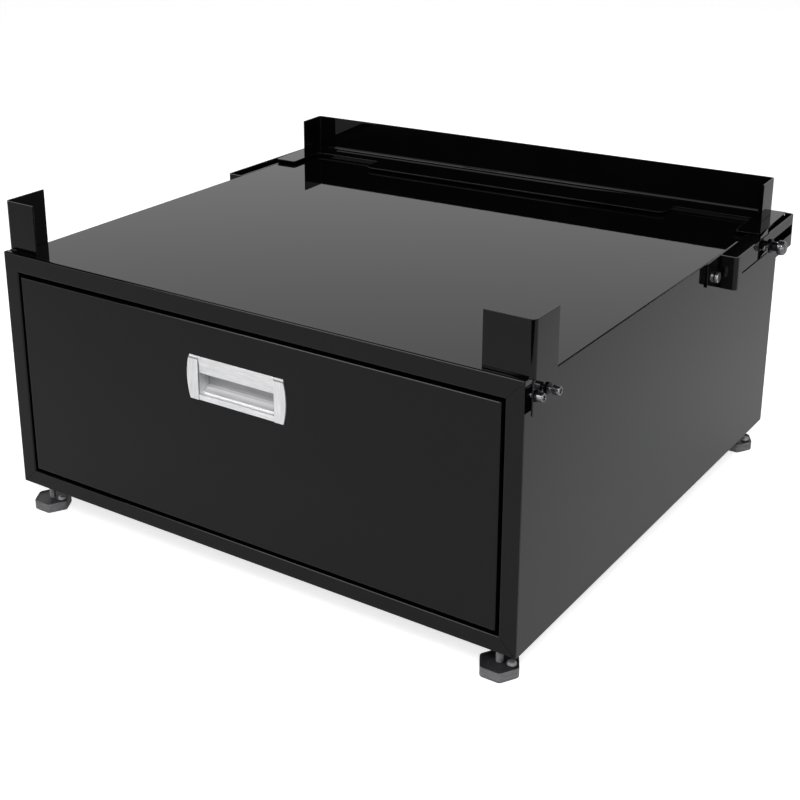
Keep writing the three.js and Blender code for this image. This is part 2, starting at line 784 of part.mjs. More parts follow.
function addArms(group) {
  const headSeat = armInnerWall + fit;
  const rivetSeat = wallInside - fit;
  const rivet = join(
    bar('x', armRivetPlace, armRivetRadius, rivetSeat - rivetHead, armInnerWall - armSheet / 2),
    bar('x', armRivetPlace, 1.5 * armRivetRadius, rivetSeat - rivetHead, rivetSeat),
  );
  const bolt = join(
    bar('x', armBoltPlace, armBoltRadius, wallInside - 8, headSeat + 1),
    hexBar('x', armBoltPlace, armHeadFlats, headSeat, headSeat + armHeadLength),
  );
  const [pivotY, pivotZ] = armBoltPlace;
  const placed = {
    right: (solid) => solid.translate(0, -pivotY, -pivotZ).rotate(armTilt, 0, 0).translate(0, pivotY, pivotZ),
    left: (solid) => solid.mirror([0, 1, 0]).translate(0, 2 * armMiddle, 0).mirror([1, 0, 0]),
  };
  const underWing = block([halfWidth, tabOuter + tabGap / 2], [armFront, cabinetDepth], [railBase - fit, railTop]);
  for (const side of sides) {
    const arm = placed[side](join(slottedArm(), rivet));
    addNode(group, `arm_${side}`, cut(arm, onSide(underWing, side)), 'glossBlack');
    addNode(group, `arm_bolt_${side}`, placed[side](bolt), 'zinc');
  }
}

// ---------------------------------------------------------------- rear rail

/** The plan of the base flange: a deep middle, shallow ends and a wing over each arm. */
function railPlan() {
  const deepCorner = corner(
    new THREE.Vector2(0, -baseDepth),
    new THREE.Vector2(baseHalfWidth, -baseDepth),
    new THREE.Vector2(baseHalfWidth, -endDepth),
    baseCorner,
  );
  const wing = [
    [wingInner, -endDepth],
    [wingInner, -wingFrontDepth],
    [tabOuter, -wingFrontDepth],
    [tabOuter, wingBackDepth],
  ];
  const wingCorners = [1, 2].flatMap((i) => corner(...vectors(wing.slice(i - 1, i + 2)), wingCorner));
  const half = [
    ...deepCorner.map(({ x, y }) => [x, y]),
    [baseHalfWidth, -endDepth],
    wing[0],
    ...wingCorners.map(({ x, y }) => [x, y]),
    wing[3],
    [wingInner, wingBackDepth],
    [wingInner, railSheet],
  ];
  const mirrored = half.map(([x, y]) => [-x, y]).reverse();
  return outline([...half, ...mirrored]);
}

/** Where a point of the rail's plan comes to lie once the rail stands askew. */
function onRail(side, x, y) {
  const point = new THREE.Vector2(side === 'left' ? -x : x, y).rotateAround(new THREE.Vector2(), skew);
  return [Math.abs(point.x), railY + point.y];
}

/** The middle of a slot bolt, as Y and Z, on the middle line of its arm's slot. */
function railBoltPlace(side) {
  const y = onRail(side, tabOuter, -railBoltSetback)[1];
  const [, z] = onArm(side, [side === 'left' ? 2 * armMiddle - y : y, slotZ]);
  return [y, z];
}

/** The rail in its own frame, whose Y = 0 is the front face of the upright. */
function rearRail() {
  const upright = foldedSection([
    [-railHalfLength, -railReturn],
    [-railHalfLength, railSheet],
    [railHalfLength, railSheet],
    [railHalfLength, -railReturn],
  ], railSheet, railBend);
  const tabs = sides.map((side) => onSide(cut(
    block(
      [tabOuter - railSheet, tabOuter],
      [-railBoltSetback - tabWidth / 2, -railBoltSetback + tabWidth / 2],
      [railBaseTop - tabLength, railBaseTop],
    ),
    bar(
      'x',
      [-railBoltSetback, railBoltPlace(side)[1]],
      railBoltRadius + fit,
      tabOuter - 2 * railSheet,
      tabOuter + railSheet,
    ),
  ), side));
  return join(
    alongZ(railPlan(), railBase, railBaseTop),
    alongZ(upright, railBase, railTop),
    ...tabs,
  );
}

/** A domed head turned about X, from its seat outwards. */
function domedHead([y, z], radius, from, length) {
  const dome = new THREE.Path();
  dome.moveTo(0, 0);
  dome.lineTo(radius, 0);
  dome.lineTo(radius, length / 2);
  dome.quadraticCurveTo(radius, length, radius / 3, length);
  dome.lineTo(0, length);
  const geometry = new THREE.LatheGeometry(dome.getPoints(5), 20);
  return toSolid(geometry.rotateZ(-Math.PI / 2).translate(from, y, z));
}

function addRail(group) {
  addNode(group, 'rear_rail', rearRail(), 'glossBlack');
  group.position.set(0, railY, 0);
  group.rotation.z = skew;
}

/** The slot bolts stand square to the arms, so they aren't turned with the rail. */
function addRailFasteners(group) {
  const washerFace = armOuter + fit;
  const washerBack = washerFace + railWasherThickness;
  const collarFace = washerBack + fit;
  const headSeat = collarFace + railCollarLength;
  for (const side of sides) {
    const place = railBoltPlace(side);
    const [tabFace] = onRail(side, tabOuter, -railBoltSetback);
    const nutBack = tabFace + railNutGap;
    const nutFace = nutBack + railNutLength;
    const bolt = join(
      bar('x', place, railBoltRadius, tabFace - 2 * railSheet, headSeat),
      bar('x', place, railCollarRadius, collarFace, headSeat),
      domedHead(place, railHeadRadius, headSeat, railHeadLength),
    );
    const bore = (from, to) => bar('x', place, railBoltRadius + fit, from - 1, to + 1);
    const washer = bar('x', place, railWasherRadius, washerFace, washerBack, 24);
    const nut = hexBar('x', place, railNutFlats, nutBack, nutFace);
    addNode(group, `rail_bolt_${side}`, onSide(bolt, side), 'zinc');
    addNode(group, `rail_washer_${side}`, onSide(cut(washer, bore(washerFace, washerBack)), side), 'darkZinc');
    addNode(group, `rail_nut_${side}`, onSide(cut(nut, bore(nutBack, nutFace)), side), 'zinc');
  }
}

// ---------------------------------------------------------------- levelling feet

/** A hexagonal pad with a low round button on its top. */
function footPad() {
  const corners = Array.from({ length: 6 }, (_, i) => {
    const angle = (i * Math.PI) / 3;
    return [padRadius * Math.cos(angle), padRadius * Math.sin(angle)];
  });
  const dome = new THREE.Path();
  dome.moveTo(0, -1);
  dome.lineTo(buttonRadius, -1);
  dome.lineTo(buttonRadius, 0);
  dome.quadraticCurveTo(buttonRadius, buttonHeight, 0, buttonHeight);
  const button = new THREE.LatheGeometry(dome.getPoints(5), 16);
  button.rotateX(Math.PI / 2).translate(...buttonOffset, padTop);
  return join(
    alongZ(roundedOutline(corners, padCorner), padTop - padHeight, padTop),
    toSolid(button),
  );
}

function addFoot(group, { name, x, y }) {
  addNode(group, `foot_pad_${name}`, footPad().translate(x, y, 0), 'darkPlastic');
  addNode(group, `foot_stud_${name}`, bar('z', [x, y], studRadius, padTop, studTop), 'zinc');
}

// ---------------------------------------------------------------- assembly

/** A named group of the pieces that stay together when the part moves. */
function subAssembly(name, ...builders) {
  const group = new THREE.Group();
  group.name = name;
  for (const build of builders) build(group);
  return group;
}

const pedestal = new THREE.Group();
pedestal.add(
  subAssembly(
    'cabinet',
    addShell,
    addFaceFrame,
    addBraces,
    addOuterSlides,
    addArms,
    addBracketBolts,
  ),
  subAssembly('drawer', addDrawerFront, addDrawerBox, addPull),
  subAssembly('middle_slides', addMiddleSlides),
  subAssembly('rail', addRail),
  subAssembly('rail_fasteners', addRailFasteners),
  ...sides.map((side) => subAssembly(`bracket_${side}`, (group) => (
    addNode(group, `corner_bracket_${side}`, onSide(cornerBracket(side), side), 'glossBlack')
  ))),
  ...footPlaces.map((foot) => subAssembly(`foot_${foot.name}`, (group) => addFoot(group, foot))),
);

// The origin goes to the floor, under the middle of the part.
const extent = new THREE.Box3().setFromObject(pedestal);
const middle = extent.getCenter(new THREE.Vector3());
pedestal.position.set(-middle.x, -middle.y, -extent.min.z);

export default pedestal;
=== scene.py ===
"""Looks of a low steel laundry pedestal with one drawer, on which a front-loading washer stands.

Every piece is drawn in the cabinet's own millimetres (X to the right, Y to the back, Z up, with the
middle of the face frame's front at X = 0, Y = 0 and the cabinet's underside at Z = 0) and is then
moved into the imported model's frame, in metres.
"""

import logging
import math
from dataclasses import dataclass
from enum import Enum
from typing import Iterable, Optional, Sequence

import bmesh
import bpy
from bmesh.types import BMEdge, BMesh, BMFace, BMVert
from mathutils import Matrix, Vector


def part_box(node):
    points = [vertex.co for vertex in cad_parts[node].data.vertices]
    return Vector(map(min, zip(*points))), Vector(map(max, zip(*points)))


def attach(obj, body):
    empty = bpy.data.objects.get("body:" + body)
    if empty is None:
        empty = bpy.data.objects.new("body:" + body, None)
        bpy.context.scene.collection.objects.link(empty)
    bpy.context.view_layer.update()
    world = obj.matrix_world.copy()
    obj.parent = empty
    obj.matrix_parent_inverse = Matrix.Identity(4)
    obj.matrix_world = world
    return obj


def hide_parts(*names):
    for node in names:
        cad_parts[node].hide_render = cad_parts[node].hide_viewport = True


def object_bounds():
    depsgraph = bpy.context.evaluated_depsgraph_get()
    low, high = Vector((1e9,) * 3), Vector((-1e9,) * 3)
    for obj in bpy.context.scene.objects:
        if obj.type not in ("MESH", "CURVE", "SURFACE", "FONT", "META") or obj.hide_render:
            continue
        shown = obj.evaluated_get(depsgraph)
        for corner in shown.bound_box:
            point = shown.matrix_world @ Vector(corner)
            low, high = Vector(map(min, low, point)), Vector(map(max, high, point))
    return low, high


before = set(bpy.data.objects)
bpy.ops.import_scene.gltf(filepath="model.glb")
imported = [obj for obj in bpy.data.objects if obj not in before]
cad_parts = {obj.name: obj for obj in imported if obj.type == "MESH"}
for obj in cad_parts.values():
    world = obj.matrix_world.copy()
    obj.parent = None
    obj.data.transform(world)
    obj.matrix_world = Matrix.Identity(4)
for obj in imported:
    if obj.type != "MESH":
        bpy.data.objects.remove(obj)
CAD_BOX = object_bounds()

LOG = logging.getLogger("pedestal")
MM = 0.001

WIDTH = 686.0
DEPTH = 675.0
HEIGHT = 296.0
DECK_TOP = 289.0
SHEET = 1.2
FIT = 0.3
HALF = WIDTH / 2
DECK_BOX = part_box("top_panel")
ORIGIN = Vector((0.0, DECK_BOX[1][1] - DEPTH * MM, DECK_BOX[1][2] - DECK_TOP * MM))

NEAR = 0.01
CUT_DISTANCE = 1e-4
WELD_DISTANCE = 1e-3

ZINC = "zinc_plated_steel"
DARK_WASHER = "dark_plated_washer"

Point2 = tuple[float, float]
Point3 = tuple[float, float, float]
Profile = tuple[Point2, ...]
Material = bpy.types.Material
Socket = bpy.types.NodeSocket


class Side(Enum):
    """The two sides of the cabinet, with the sign of X on each."""

    LEFT = -1
    RIGHT = 1

    @property
    def word(self) -> str:
        """The side's name as it stands in node names."""
        return self.name.lower()


class Axis(Enum):
    """The direction along which a section is drawn out."""

    X = 0
    Y = 1
    Z = 2

    @property
    def vector(self) -> Vector:
        """The unit vector of the axis."""
        return Vector([1.0 if i == self.value else 0.0 for i in range(3)])

    def point(self, along_axis: float, pair: Point2) -> Vector:
        """Puts a section's two coordinates round the axis.

        Args:
            along_axis: Place along the axis.
            pair: The other two coordinates, in X, Y, Z order.

        Returns:
            The point in space.
        """
        rest = list(pair)
        rest.insert(self.value, along_axis)
        return Vector(rest)


# ---------- mesh helpers


def verts_in(geometry: Iterable) -> list[BMVert]:
    """The vertices in an operator's result."""
    return [item for item in geometry if isinstance(item, BMVert)]


def edges_in(geometry: Iterable) -> list[BMEdge]:
    """The edges in an operator's result."""
    return [item for item in geometry if isinstance(item, BMEdge)]


def along(edge: BMEdge, axis: Axis) -> bool:
    """Whether an edge runs along an axis."""
    run = (edge.verts[1].co - edge.verts[0].co).normalized()
    return abs(run.dot(axis.vector)) > 0.999


def edges_at(bm: BMesh, run: Optional[Axis] = None, **place: float) -> list[BMEdge]:
    """Finds edges whose both ends share the given coordinates.

    Args:
        bm: The mesh.
        run: The axis along which they lie, if that matters.
        **place: Wanted x, y or z of both ends.

    Returns:
        The edges found.
    """
    wanted = [("xyz".index(key), value) for key, value in place.items()]
    found = [
        edge for edge in bm.edges
        if all(abs(vert.co[i] - value) < NEAR for vert in edge.verts for i, value in wanted)
    ]
    return [edge for edge in found if run is None or along(edge, run)]


def shift(bm: BMesh, way: Sequence[float]) -> None:
    """Moves a whole mesh."""
    bmesh.ops.translate(bm, vec=way, verts=bm.verts[:])


def turn(bm: BMesh, degrees: float, axis: Axis = Axis.Z, centre: Point3 = (0.0, 0.0, 0.0)) -> None:
    """Turns a whole mesh about an axis through a point."""
    matrix = Matrix.Rotation(math.radians(degrees), 3, axis.name)
    bmesh.ops.rotate(bm, cent=centre, matrix=matrix, verts=bm.verts[:])


def lay_along(bm: BMesh, axis: Axis) -> None:
    """Turns a shape that stands along Z so that it lies along another axis."""
    matrix = Axis.Z.vector.rotation_difference(axis.vector).to_matrix()
    bmesh.ops.rotate(bm, cent=(0.0, 0.0, 0.0), matrix=matrix, verts=bm.verts[:])


def on_side(bm: BMesh, side: Side) -> BMesh:
    """Mirrors a shape that is drawn for the right-hand side if it belongs to the left.

    Args:
        bm: The mesh.
        side: Where it belongs.

    Returns:
        The same mesh.
    """
    if side is Side.LEFT:
        bmesh.ops.scale(bm, vec=(-1.0, 1.0, 1.0), verts=bm.verts[:])
        bmesh.ops.reverse_faces(bm, faces=bm.faces[:])
    return bm


def face_outwards(bm: BMesh, first: BMFace, wanted: Vector) -> None:
    """Makes an open surface's faces agree.

    Args:
        bm: The surface.
        first: A face whose direction is known.
        wanted: The way it has to point.
    """
    bmesh.ops.recalc_face_normals(bm, faces=bm.faces[:])
    first.normal_update()
    if first.normal.dot(wanted) < 0:
        bmesh.ops.reverse_faces(bm, faces=bm.faces[:])


def round_off(bm: BMesh, places: Sequence, radius: float, steps: int = 4, affect: str = "EDGES") -> None:
    """Rounds edges or corners.

    Args:
        bm: The mesh.
        places: The edges or vertices to round.
        radius: How far the rounding reaches from each of them.
        steps: Facets across the rounding.
        affect: EDGES, or VERTICES for the corners of a flat face.
    """
    bmesh.ops.bevel(
        bm, geom=list(places), offset=radius, offset_type="OFFSET", affect=affect, segments=steps,
        profile=0.5, material=-1, clamp_overlap=affect == "EDGES",
    )


def grow(bm: BMesh, edge: BMEdge, way: Point3) -> BMEdge:
    """Grows a new face from a free edge.

    Args:
        bm: The mesh.
        edge: The free edge.
        way: How far and which way the face grows.

    Returns:
        The new face's far edge.
    """
    grown = bmesh.ops.extrude_edge_only(bm, edges=[edge])["geom"]
    bmesh.ops.translate(bm, vec=way, verts=verts_in(grown))
    return edges_in(grown)[0]


def cut(bm: BMesh, through: Point3, normal: Point3, clear: bool = False, fill: bool = False) -> None:
    """Cuts a mesh along a plane.

    Args:
        bm: The mesh.
        through: A point of the plane.
        normal: The plane's direction.
        clear: Whether the part on that side goes.
        fill: Whether the cut is closed again.
    """
    whole = bm.verts[:] + bm.edges[:] + bm.faces[:]
    result = bmesh.ops.bisect_plane(
        bm, geom=whole, dist=CUT_DISTANCE, plane_co=through, plane_no=normal, clear_outer=clear
    )
    if fill:
        bmesh.ops.edgenet_fill(bm, edges=edges_in(result["geom_cut"]))
        bmesh.ops.recalc_face_normals(bm, faces=bm.faces[:])


def open_window(bm: BMesh, low: Point3, high: Point3) -> None:
    """Takes away the part of a surface that lies in a box.

    Args:
        bm: The surface.
        low: The box's lowest corner.
        high: The box's highest corner.
    """
    for axis in Axis:
        for limit in (low, high):
            if math.isfinite(limit[axis.value]):
                cut(bm, axis.vector * limit[axis.value], axis.vector)
    gone = []
    for face in bm.faces:
        middle = face.calc_center_median()
        if all(low[i] < middle[i] < high[i] for i in range(3)):
            gone.append(face)
    bmesh.ops.delete(bm, geom=gone, context="FACES")


def folded_sheet(points: Profile, bends: Sequence[float], axis: Axis, span: Point2, steps: int = 5) -> BMesh:
    """Draws out the outer face of a folded sheet.

    Args:
        points: The section, with the outside on its left when seen against the axis.
        bends: Outer radius at each inner point of the section.
        axis: Direction along which the section is drawn out.
        span: Where it starts and ends along the axis.
        steps: Facets round each fold.

    Returns:
        A mesh of the outer face, to be given its thickness later.
    """
    bm = bmesh.new()
    verts = [bm.verts.new(axis.point(span[0], point)) for point in points]
    edges = [bm.edges.new(pair) for pair in zip(verts, verts[1:])]
    grown = bmesh.ops.extrude_edge_only(bm, edges=edges)["geom"]
    bmesh.ops.translate(bm, vec=axis.vector * (span[1] - span[0]), verts=verts_in(grown))
    run = verts[1].co - verts[0].co
    start = next(face for face in bm.faces if verts[0] in face.verts)
    face_outwards(bm, start, axis.vector.cross(run))
    folds = [edge for vert in verts[1:-1] for edge in vert.link_edges if along(edge, axis)]
    for edge, radius in zip(folds, bends):
        round_off(bm, [edge], radius, steps)
    return bm


def drawn_out(points: Sequence[Point2], axis: Axis, span: Point2) -> BMesh:
    """Draws a closed section out into a solid.

    Args:
        points: The section.
        axis: Direction along which it is drawn out.
        span: Where it starts and ends along the axis.

    Returns:
        The solid.
    """
    bm = bmesh.new()
    face = bm.faces.new([bm.verts.new(axis.point(span[0], point)) for point in points])
    grown = bmesh.ops.extrude_face_region(bm, geom=[face])["geom"]
    bmesh.ops.translate(bm, vec=axis.vector * (span[1] - span[0]), verts=verts_in(grown))
    bmesh.ops.recalc_face_normals(bm, faces=bm.faces[:])
    return bm


def slab(x: Point2, y: Point2, z: Point2) -> BMesh:
    """Makes a block.

    Args:
        x: Its lowest and highest X.
        y: The same in Y.
        z: The same in Z.

    Returns:
        The block.
    """
    bm = bmesh.new()
    bmesh.ops.create_cube(bm, size=1.0)
    bmesh.ops.scale(bm, vec=[high - low for low, high in (x, y, z)], verts=bm.verts[:])
    shift(bm, [(low + high) / 2 for low, high in (x, y, z)])
    return bm


def turned(profile: Sequence[Point2], axis: Axis, centre: Point3, steps: int = 32) -> BMesh:
    """Spins a profile round an axis.

    Args:
        profile: Radius and height pairs, starting and ending on the axis or closed on itself.
        axis: The axis of the spin.
        centre: A point of the axis, from which heights count.
        steps: Facets round the axis.

    Returns:
        The closed solid.
    """
    bm = bmesh.new()
    verts = [bm.verts.new((radius, 0.0, height)) for radius, height in profile]
    edges = [bm.edges.new(pair) for pair in zip(verts, verts[1:])]
    bmesh.ops.spin(
        bm, geom=verts + edges, cent=(0.0, 0.0, 0.0), axis=(0.0, 0.0, 1.0), angle=math.tau, steps=steps,
        use_merge=True, use_duplicate=False,
    )
    bmesh.ops.remove_doubles(bm, verts=bm.verts[:], dist=WELD_DISTANCE)
    bmesh.ops.recalc_face_normals(bm, faces=bm.faces[:])
    lay_along(bm, axis)
    shift(bm, centre)
    return bm


def ring(bore: float, radius: float, thickness: float) -> Profile:
    """The section of a flat washer that lies on its seat."""
    return (bore, 0.0), (radius, 0.0), (radius, thickness), (bore, thickness), (bore, 0.0)


def prism(reach: float, height: float) -> BMesh:
    """Makes an upright six-sided block round the origin.

    Args:
        reach: Distance from its axis to its corners.
        height: Its height.

    Returns:
        The block.
    """
    bm = bmesh.new()
    bmesh.ops.create_cone(bm, cap_ends=True, segments=6, radius1=reach, radius2=reach, depth=height)
    return bm


def hexagon(flats: float, height: float, axis: Axis, start: Point3, bevel: float) -> BMesh:
    """Makes a nut or a bolt's head.

    Args:
        flats: Its width across flats.
        height: Its height.
        axis: The axis along which it stands.
        start: Middle of the face on which it stands.
        bevel: Rounding of its rims.

    Returns:
        The block.
    """
    bm = prism(flats / math.sqrt(3), height)
    shift(bm, (0.0, 0.0, height / 2))
    round_off(bm, [edge for edge in bm.edges if not along(edge, Axis.Z)], bevel, 2)
    lay_along(bm, axis)
    shift(bm, start)
    return bm


def merged(whole: BMesh, part: BMesh) -> BMesh:
    """Puts one mesh into another.

    Args:
        whole: The mesh that takes it in.
        part: The mesh that is used up.

    Returns:
        The first mesh.
    """
    holder = bpy.data.meshes.new("holder")
    part.to_mesh(holder)
    part.free()
    whole.from_mesh(holder)
    bpy.data.meshes.remove(holder)
    return whole


@dataclass(frozen=True)
class Thread:
    """A screw thread, drawn as a stack of ridges, with its root given as a share of its radius."""

    radius: float = 4.0
    root: float = 0.85
    pitch: float = 1.25
    steps: int = 20

    def rod(self, axis: Axis, centre: Point3, start: float, end: float) -> BMesh:
        """Makes a threaded rod.

        Args:
            axis: The rod's axis.
            centre: A point of the axis, from which the ends count.
            start: Where the thread starts.
            end: Where the thread ends.

        Returns:
            The closed solid.
        """
        count = max(1, int((end - start) / self.pitch))
        step = (end - start) / count
        root = self.radius * self.root
        profile = [(0.0, start)]
        for i in range(count):
            for radius, share in ((root, 0.05), (self.radius, 0.45), (self.radius, 0.55)):
                profile.append((radius, start + i * step + share * step))
        profile += [(root, end), (0.0, end)]
        return turned(profile, axis, centre, self.steps)


# ---------- finishes

EVEN = (1.0, 1.0, 1.0)
ALONG_X = (0.06, 1.0, 1.0)
ALONG_Z = (1.0, 1.0, 0.06)
PATTERN_SPAN = (0.3, 0.7)
WHITE = (1.0, 1.0, 1.0, 1.0)


def grey(level: float, blue: float = 0.01) -> Point3:
    """A grey with a little more blue in it."""
    return level, level, level + blue


class Nodes:
    """A node tree, with short ways to add and join nodes."""

    def __init__(self, tree: bpy.types.NodeTree) -> None:
        """Empties the tree."""
        self.tree = tree
        tree.nodes.clear()

    def feed(self, target: Socket, value: object) -> None:
        """Joins a socket to the target, or sets the target to a plain value.

        Args:
            target: The input that is fed.
            value: An output, a number or a colour.
        """
        if isinstance(value, Socket):
            self.tree.links.new(value, target)
        else:
            target.default_value = value

    def add(self, kind: str, *values: object, **named: object) -> bpy.types.Node:
        """Adds a node.

        Args:
            kind: The node's type.
            *values: What feeds its inputs, in their order.
            **named: Its settings, and what feeds its inputs by name, with underscores for spaces.

        Returns:
            The node.
        """
        node = self.tree.nodes.new(kind)
        for target, value in zip(node.inputs, values):
            self.feed(target, value)
        for key, value in named.items():
            if hasattr(node, key):
                setattr(node, key, value)
            else:
                self.feed(node.inputs[key.replace("_", " ")], value)
        return node

    def ramp(self, source: Socket, span: Point2, colours: Sequence[Point3]) -> Socket:
        """Turns a value into a colour.

        Args:
            source: The value.
            span: The values at which the colours stand.
            colours: The first and the last colour.

        Returns:
            The colour.
        """
        node = self.add("ShaderNodeValToRGB", Fac=source)
        for element, position, colour in zip(node.color_ramp.elements, span, colours):
            element.position = position
            element.color = (*colour, 1.0)
        return node.outputs["Color"]


class Graph(Nodes):
    """A material's nodes, round one principled shader."""

    def __init__(self, name: str) -> None:
        """Starts a material with only its output and shader.

        Args:
            name: The material's name.
        """
        self.material = bpy.data.materials.new(name)
        self.material.use_nodes = True
        super().__init__(self.material.node_tree)
        self.shader = self.add("ShaderNodeBsdfPrincipled")
        self.output = self.add("ShaderNodeOutputMaterial", Surface=self.shader.outputs[0])

    def pattern(self, stretch: Point3, scale: float, detail: float) -> Socket:
        """Makes a noise pattern on the piece's own coordinates.

        Args:
            stretch: How densely the pattern runs along each axis.
            scale: Repeats per metre before the stretch.
            detail: Layers of finer noise.

        Returns:
            The pattern's value, from 0 to 1.
        """
        place = self.add("ShaderNodeTexCoord").outputs["Object"]
        mapping = self.add("ShaderNodeMapping", Vector=place, Scale=stretch).outputs["Vector"]
        noise = self.add("ShaderNodeTexNoise", Vector=mapping, Scale=scale, Detail=detail, Roughness=0.55)
        return noise.outputs["Fac"]


@dataclass(frozen=True)
class Finish:
    """A finish whose colour and roughness follow a fine pattern, over a shallow relief.

    The grain is the pattern's repeats per metre and its layers of noise, and the stretch is how densely
    it runs along each axis. The relief is such a pair as well, or None where the pattern itself is
    raised, and its depth is in metres.
    """

    name: str
    dark: Point3
    light: Point3
    smooth: float
    hazy: float
    metallic: float = 0.0
    index: float = 1.5
    stretch: Point3 = EVEN
    grain: Point2 = (420.0, 5.0)
    relief: Optional[Point2] = (1500.0, 2.0)
    depth: float = 0.00001

    def make(self) -> Material:
        """Builds the material.

        Returns:
            The material.
        """
        graph = Graph(self.name)
        shade = graph.shader.inputs
        shade["Metallic"].default_value = self.metallic
        shade["IOR"].default_value = self.index
        grain = graph.pattern(self.stretch, *self.grain)
        graph.feed(shade["Base Color"], graph.ramp(grain, PATTERN_SPAN, (self.dark, self.light)))
        gloss = graph.add("ShaderNodeMapRange", grain, *PATTERN_SPAN, self.smooth, self.hazy)
        graph.feed(shade["Roughness"], gloss.outputs["Result"])
        raised = graph.pattern(EVEN, *self.relief) if self.relief else grain
        bump = graph.add("ShaderNodeBump", Height=raised, Strength=1.0, Distance=self.depth)
        graph.feed(shade["Normal"], bump.outputs["Normal"])
        return graph.material


@dataclass(frozen=True)
class PowderCoat(Finish):
    """Black powder coat, baked smooth, with the faint waviness of a sprayed film."""

    dark: Point3 = (0.0010, 0.0010, 0.0012)
    light: Point3 = (0.0015, 0.0015, 0.0018)
    smooth: float = 0.012
    hazy: float = 0.028
    index: float = 1.30
    grain: Point2 = (14.0, 4.0)
    relief: Optional[Point2] = (260.0, 1.0)
    depth: float = 0.000004


@dataclass(frozen=True)
class Plating(Finish):
    """Zinc or dark plating on steel, with fine mottling from the bath."""

    smooth: float = 0.22
    hazy: float = 0.42
    metallic: float = 1.0


@dataclass(frozen=True)
class BrushedMetal(Finish):
    """Aluminium brushed along one direction, etched to satin and clear anodised."""

    dark: Point3 = grey(0.62)
    light: Point3 = grey(0.80)
    smooth: float = 0.38
    hazy: float = 0.50
    metallic: float = 0.62
    stretch: Point3 = ALONG_X
    grain: Point2 = (900.0, 4.0)
    relief: Optional[Point2] = None
    depth: float = 0.000008


@dataclass(frozen=True)
class MouldedPlastic(Finish):
    """Dark plastic with drag marks from the mould."""

    dark: Point3 = (0.058, 0.058, 0.062)
    light: Point3 = (0.150, 0.150, 0.155)
    smooth: float = 0.34
    hazy: float = 0.52
    stretch: Point3 = (1.0, 1.0, 9.0)
    grain: Point2 = (90.0, 5.0)
    relief: Optional[Point2] = (900.0, 3.0)
    depth: float = 0.00004


class Finishes:
    """Every material of the pedestal, made once."""

    def __init__(self) -> None:
        """Builds the materials."""
        self.body = PowderCoat("black_powder_coat").make()
        self.inner = PowderCoat("black_powder_coat_inside", smooth=0.2, hazy=0.32).make()
        # A duller, barely reflecting copy of the black coat for the channels' insides and the rail's tabs:
        # painted shade that keeps the slots and tabs dark.
        self.thin_coat = PowderCoat("black_powder_coat_thin", smooth=0.45, hazy=0.6, index=1.04).make()
        self.zinc = Plating("bright_zinc", (0.50, 0.51, 0.53), (0.74, 0.75, 0.77)).make()
        self.dark_plate = Plating("dark_plating", grey(0.006, 0.001), grey(0.022, 0.002), 0.4, 0.55).make()
        self.grey_plate = Plating("grey_plating", grey(0.10), grey(0.20), 0.28, 0.46).make()
        self.screw_steel = Plating("screw_steel", grey(0.09), grey(0.27), 0.22, 0.36).make()
        self.slide_steel = Plating("slide_steel", (0.42, 0.43, 0.45), (0.62, 0.63, 0.65), 0.25, 0.4).make()
        self.aluminium = BrushedMetal("brushed_aluminium").make()
        self.cap_aluminium = BrushedMetal("brushed_aluminium_caps", metallic=0.95, stretch=ALONG_Z).make()
        # Darker and lighter copies of the cup's aluminium: painted shade on the wall under the lip, painted
        # light on the low scoop and a painted half shade between them.
        self.recess = BrushedMetal("etched_aluminium_recess", grey(0.22), grey(0.30), 0.5, 0.6, 0.4).make()
        self.scoop = BrushedMetal("etched_aluminium_scoop", grey(0.60), grey(0.72), 0.55, 0.7, 0.1).make()
        self.scoop_edge = BrushedMetal(
            "etched_aluminium_scoop_edge", grey(0.36), grey(0.44), 0.5, 0.65, 0.25
        ).make()
        # A darker copy of the caps' aluminium for their mitre facets: painted shade on the upward corner.
        self.cap_mitre = BrushedMetal(
            "polished_aluminium_mitre", grey(0.30), grey(0.38), 0.18, 0.28, 0.95, stretch=ALONG_Z
        ).make()
        self.plastic = MouldedPlastic("dark_moulded_plastic").make()
        # A darker copy of the pad's plastic for its top: painted shade under the cabinet.
        self.pad_top = MouldedPlastic("dark_pad_top", grey(0.010, 0.001), grey(0.045, 0.003)).make()
        self.button = MouldedPlastic("pale_button", grey(0.20), grey(0.36)).make()


# ---------- pieces


def linked(name: str, data: bpy.types.ID) -> bpy.types.Object:
    """Puts a mesh, a lamp or a camera into the scene.

    Args:
        name: The object's name.
        data: What it shows.

    Returns:
        The new object.
    """
    thing = bpy.data.objects.new(name, data)
    bpy.context.collection.objects.link(thing)
    return thing


def mesh_object(name: str, bm: BMesh, *materials: Material) -> bpy.types.Object:
    """Uses up a mesh for a new object.

    Args:
        name: The object's name.
        bm: Its mesh.
        *materials: Its finishes.

    Returns:
        The new object.
    """
    mesh = bpy.data.meshes.new(name)
    bm.to_mesh(mesh)
    bm.free()
    for material in materials:
        mesh.materials.append(material)
    return linked(name, mesh)


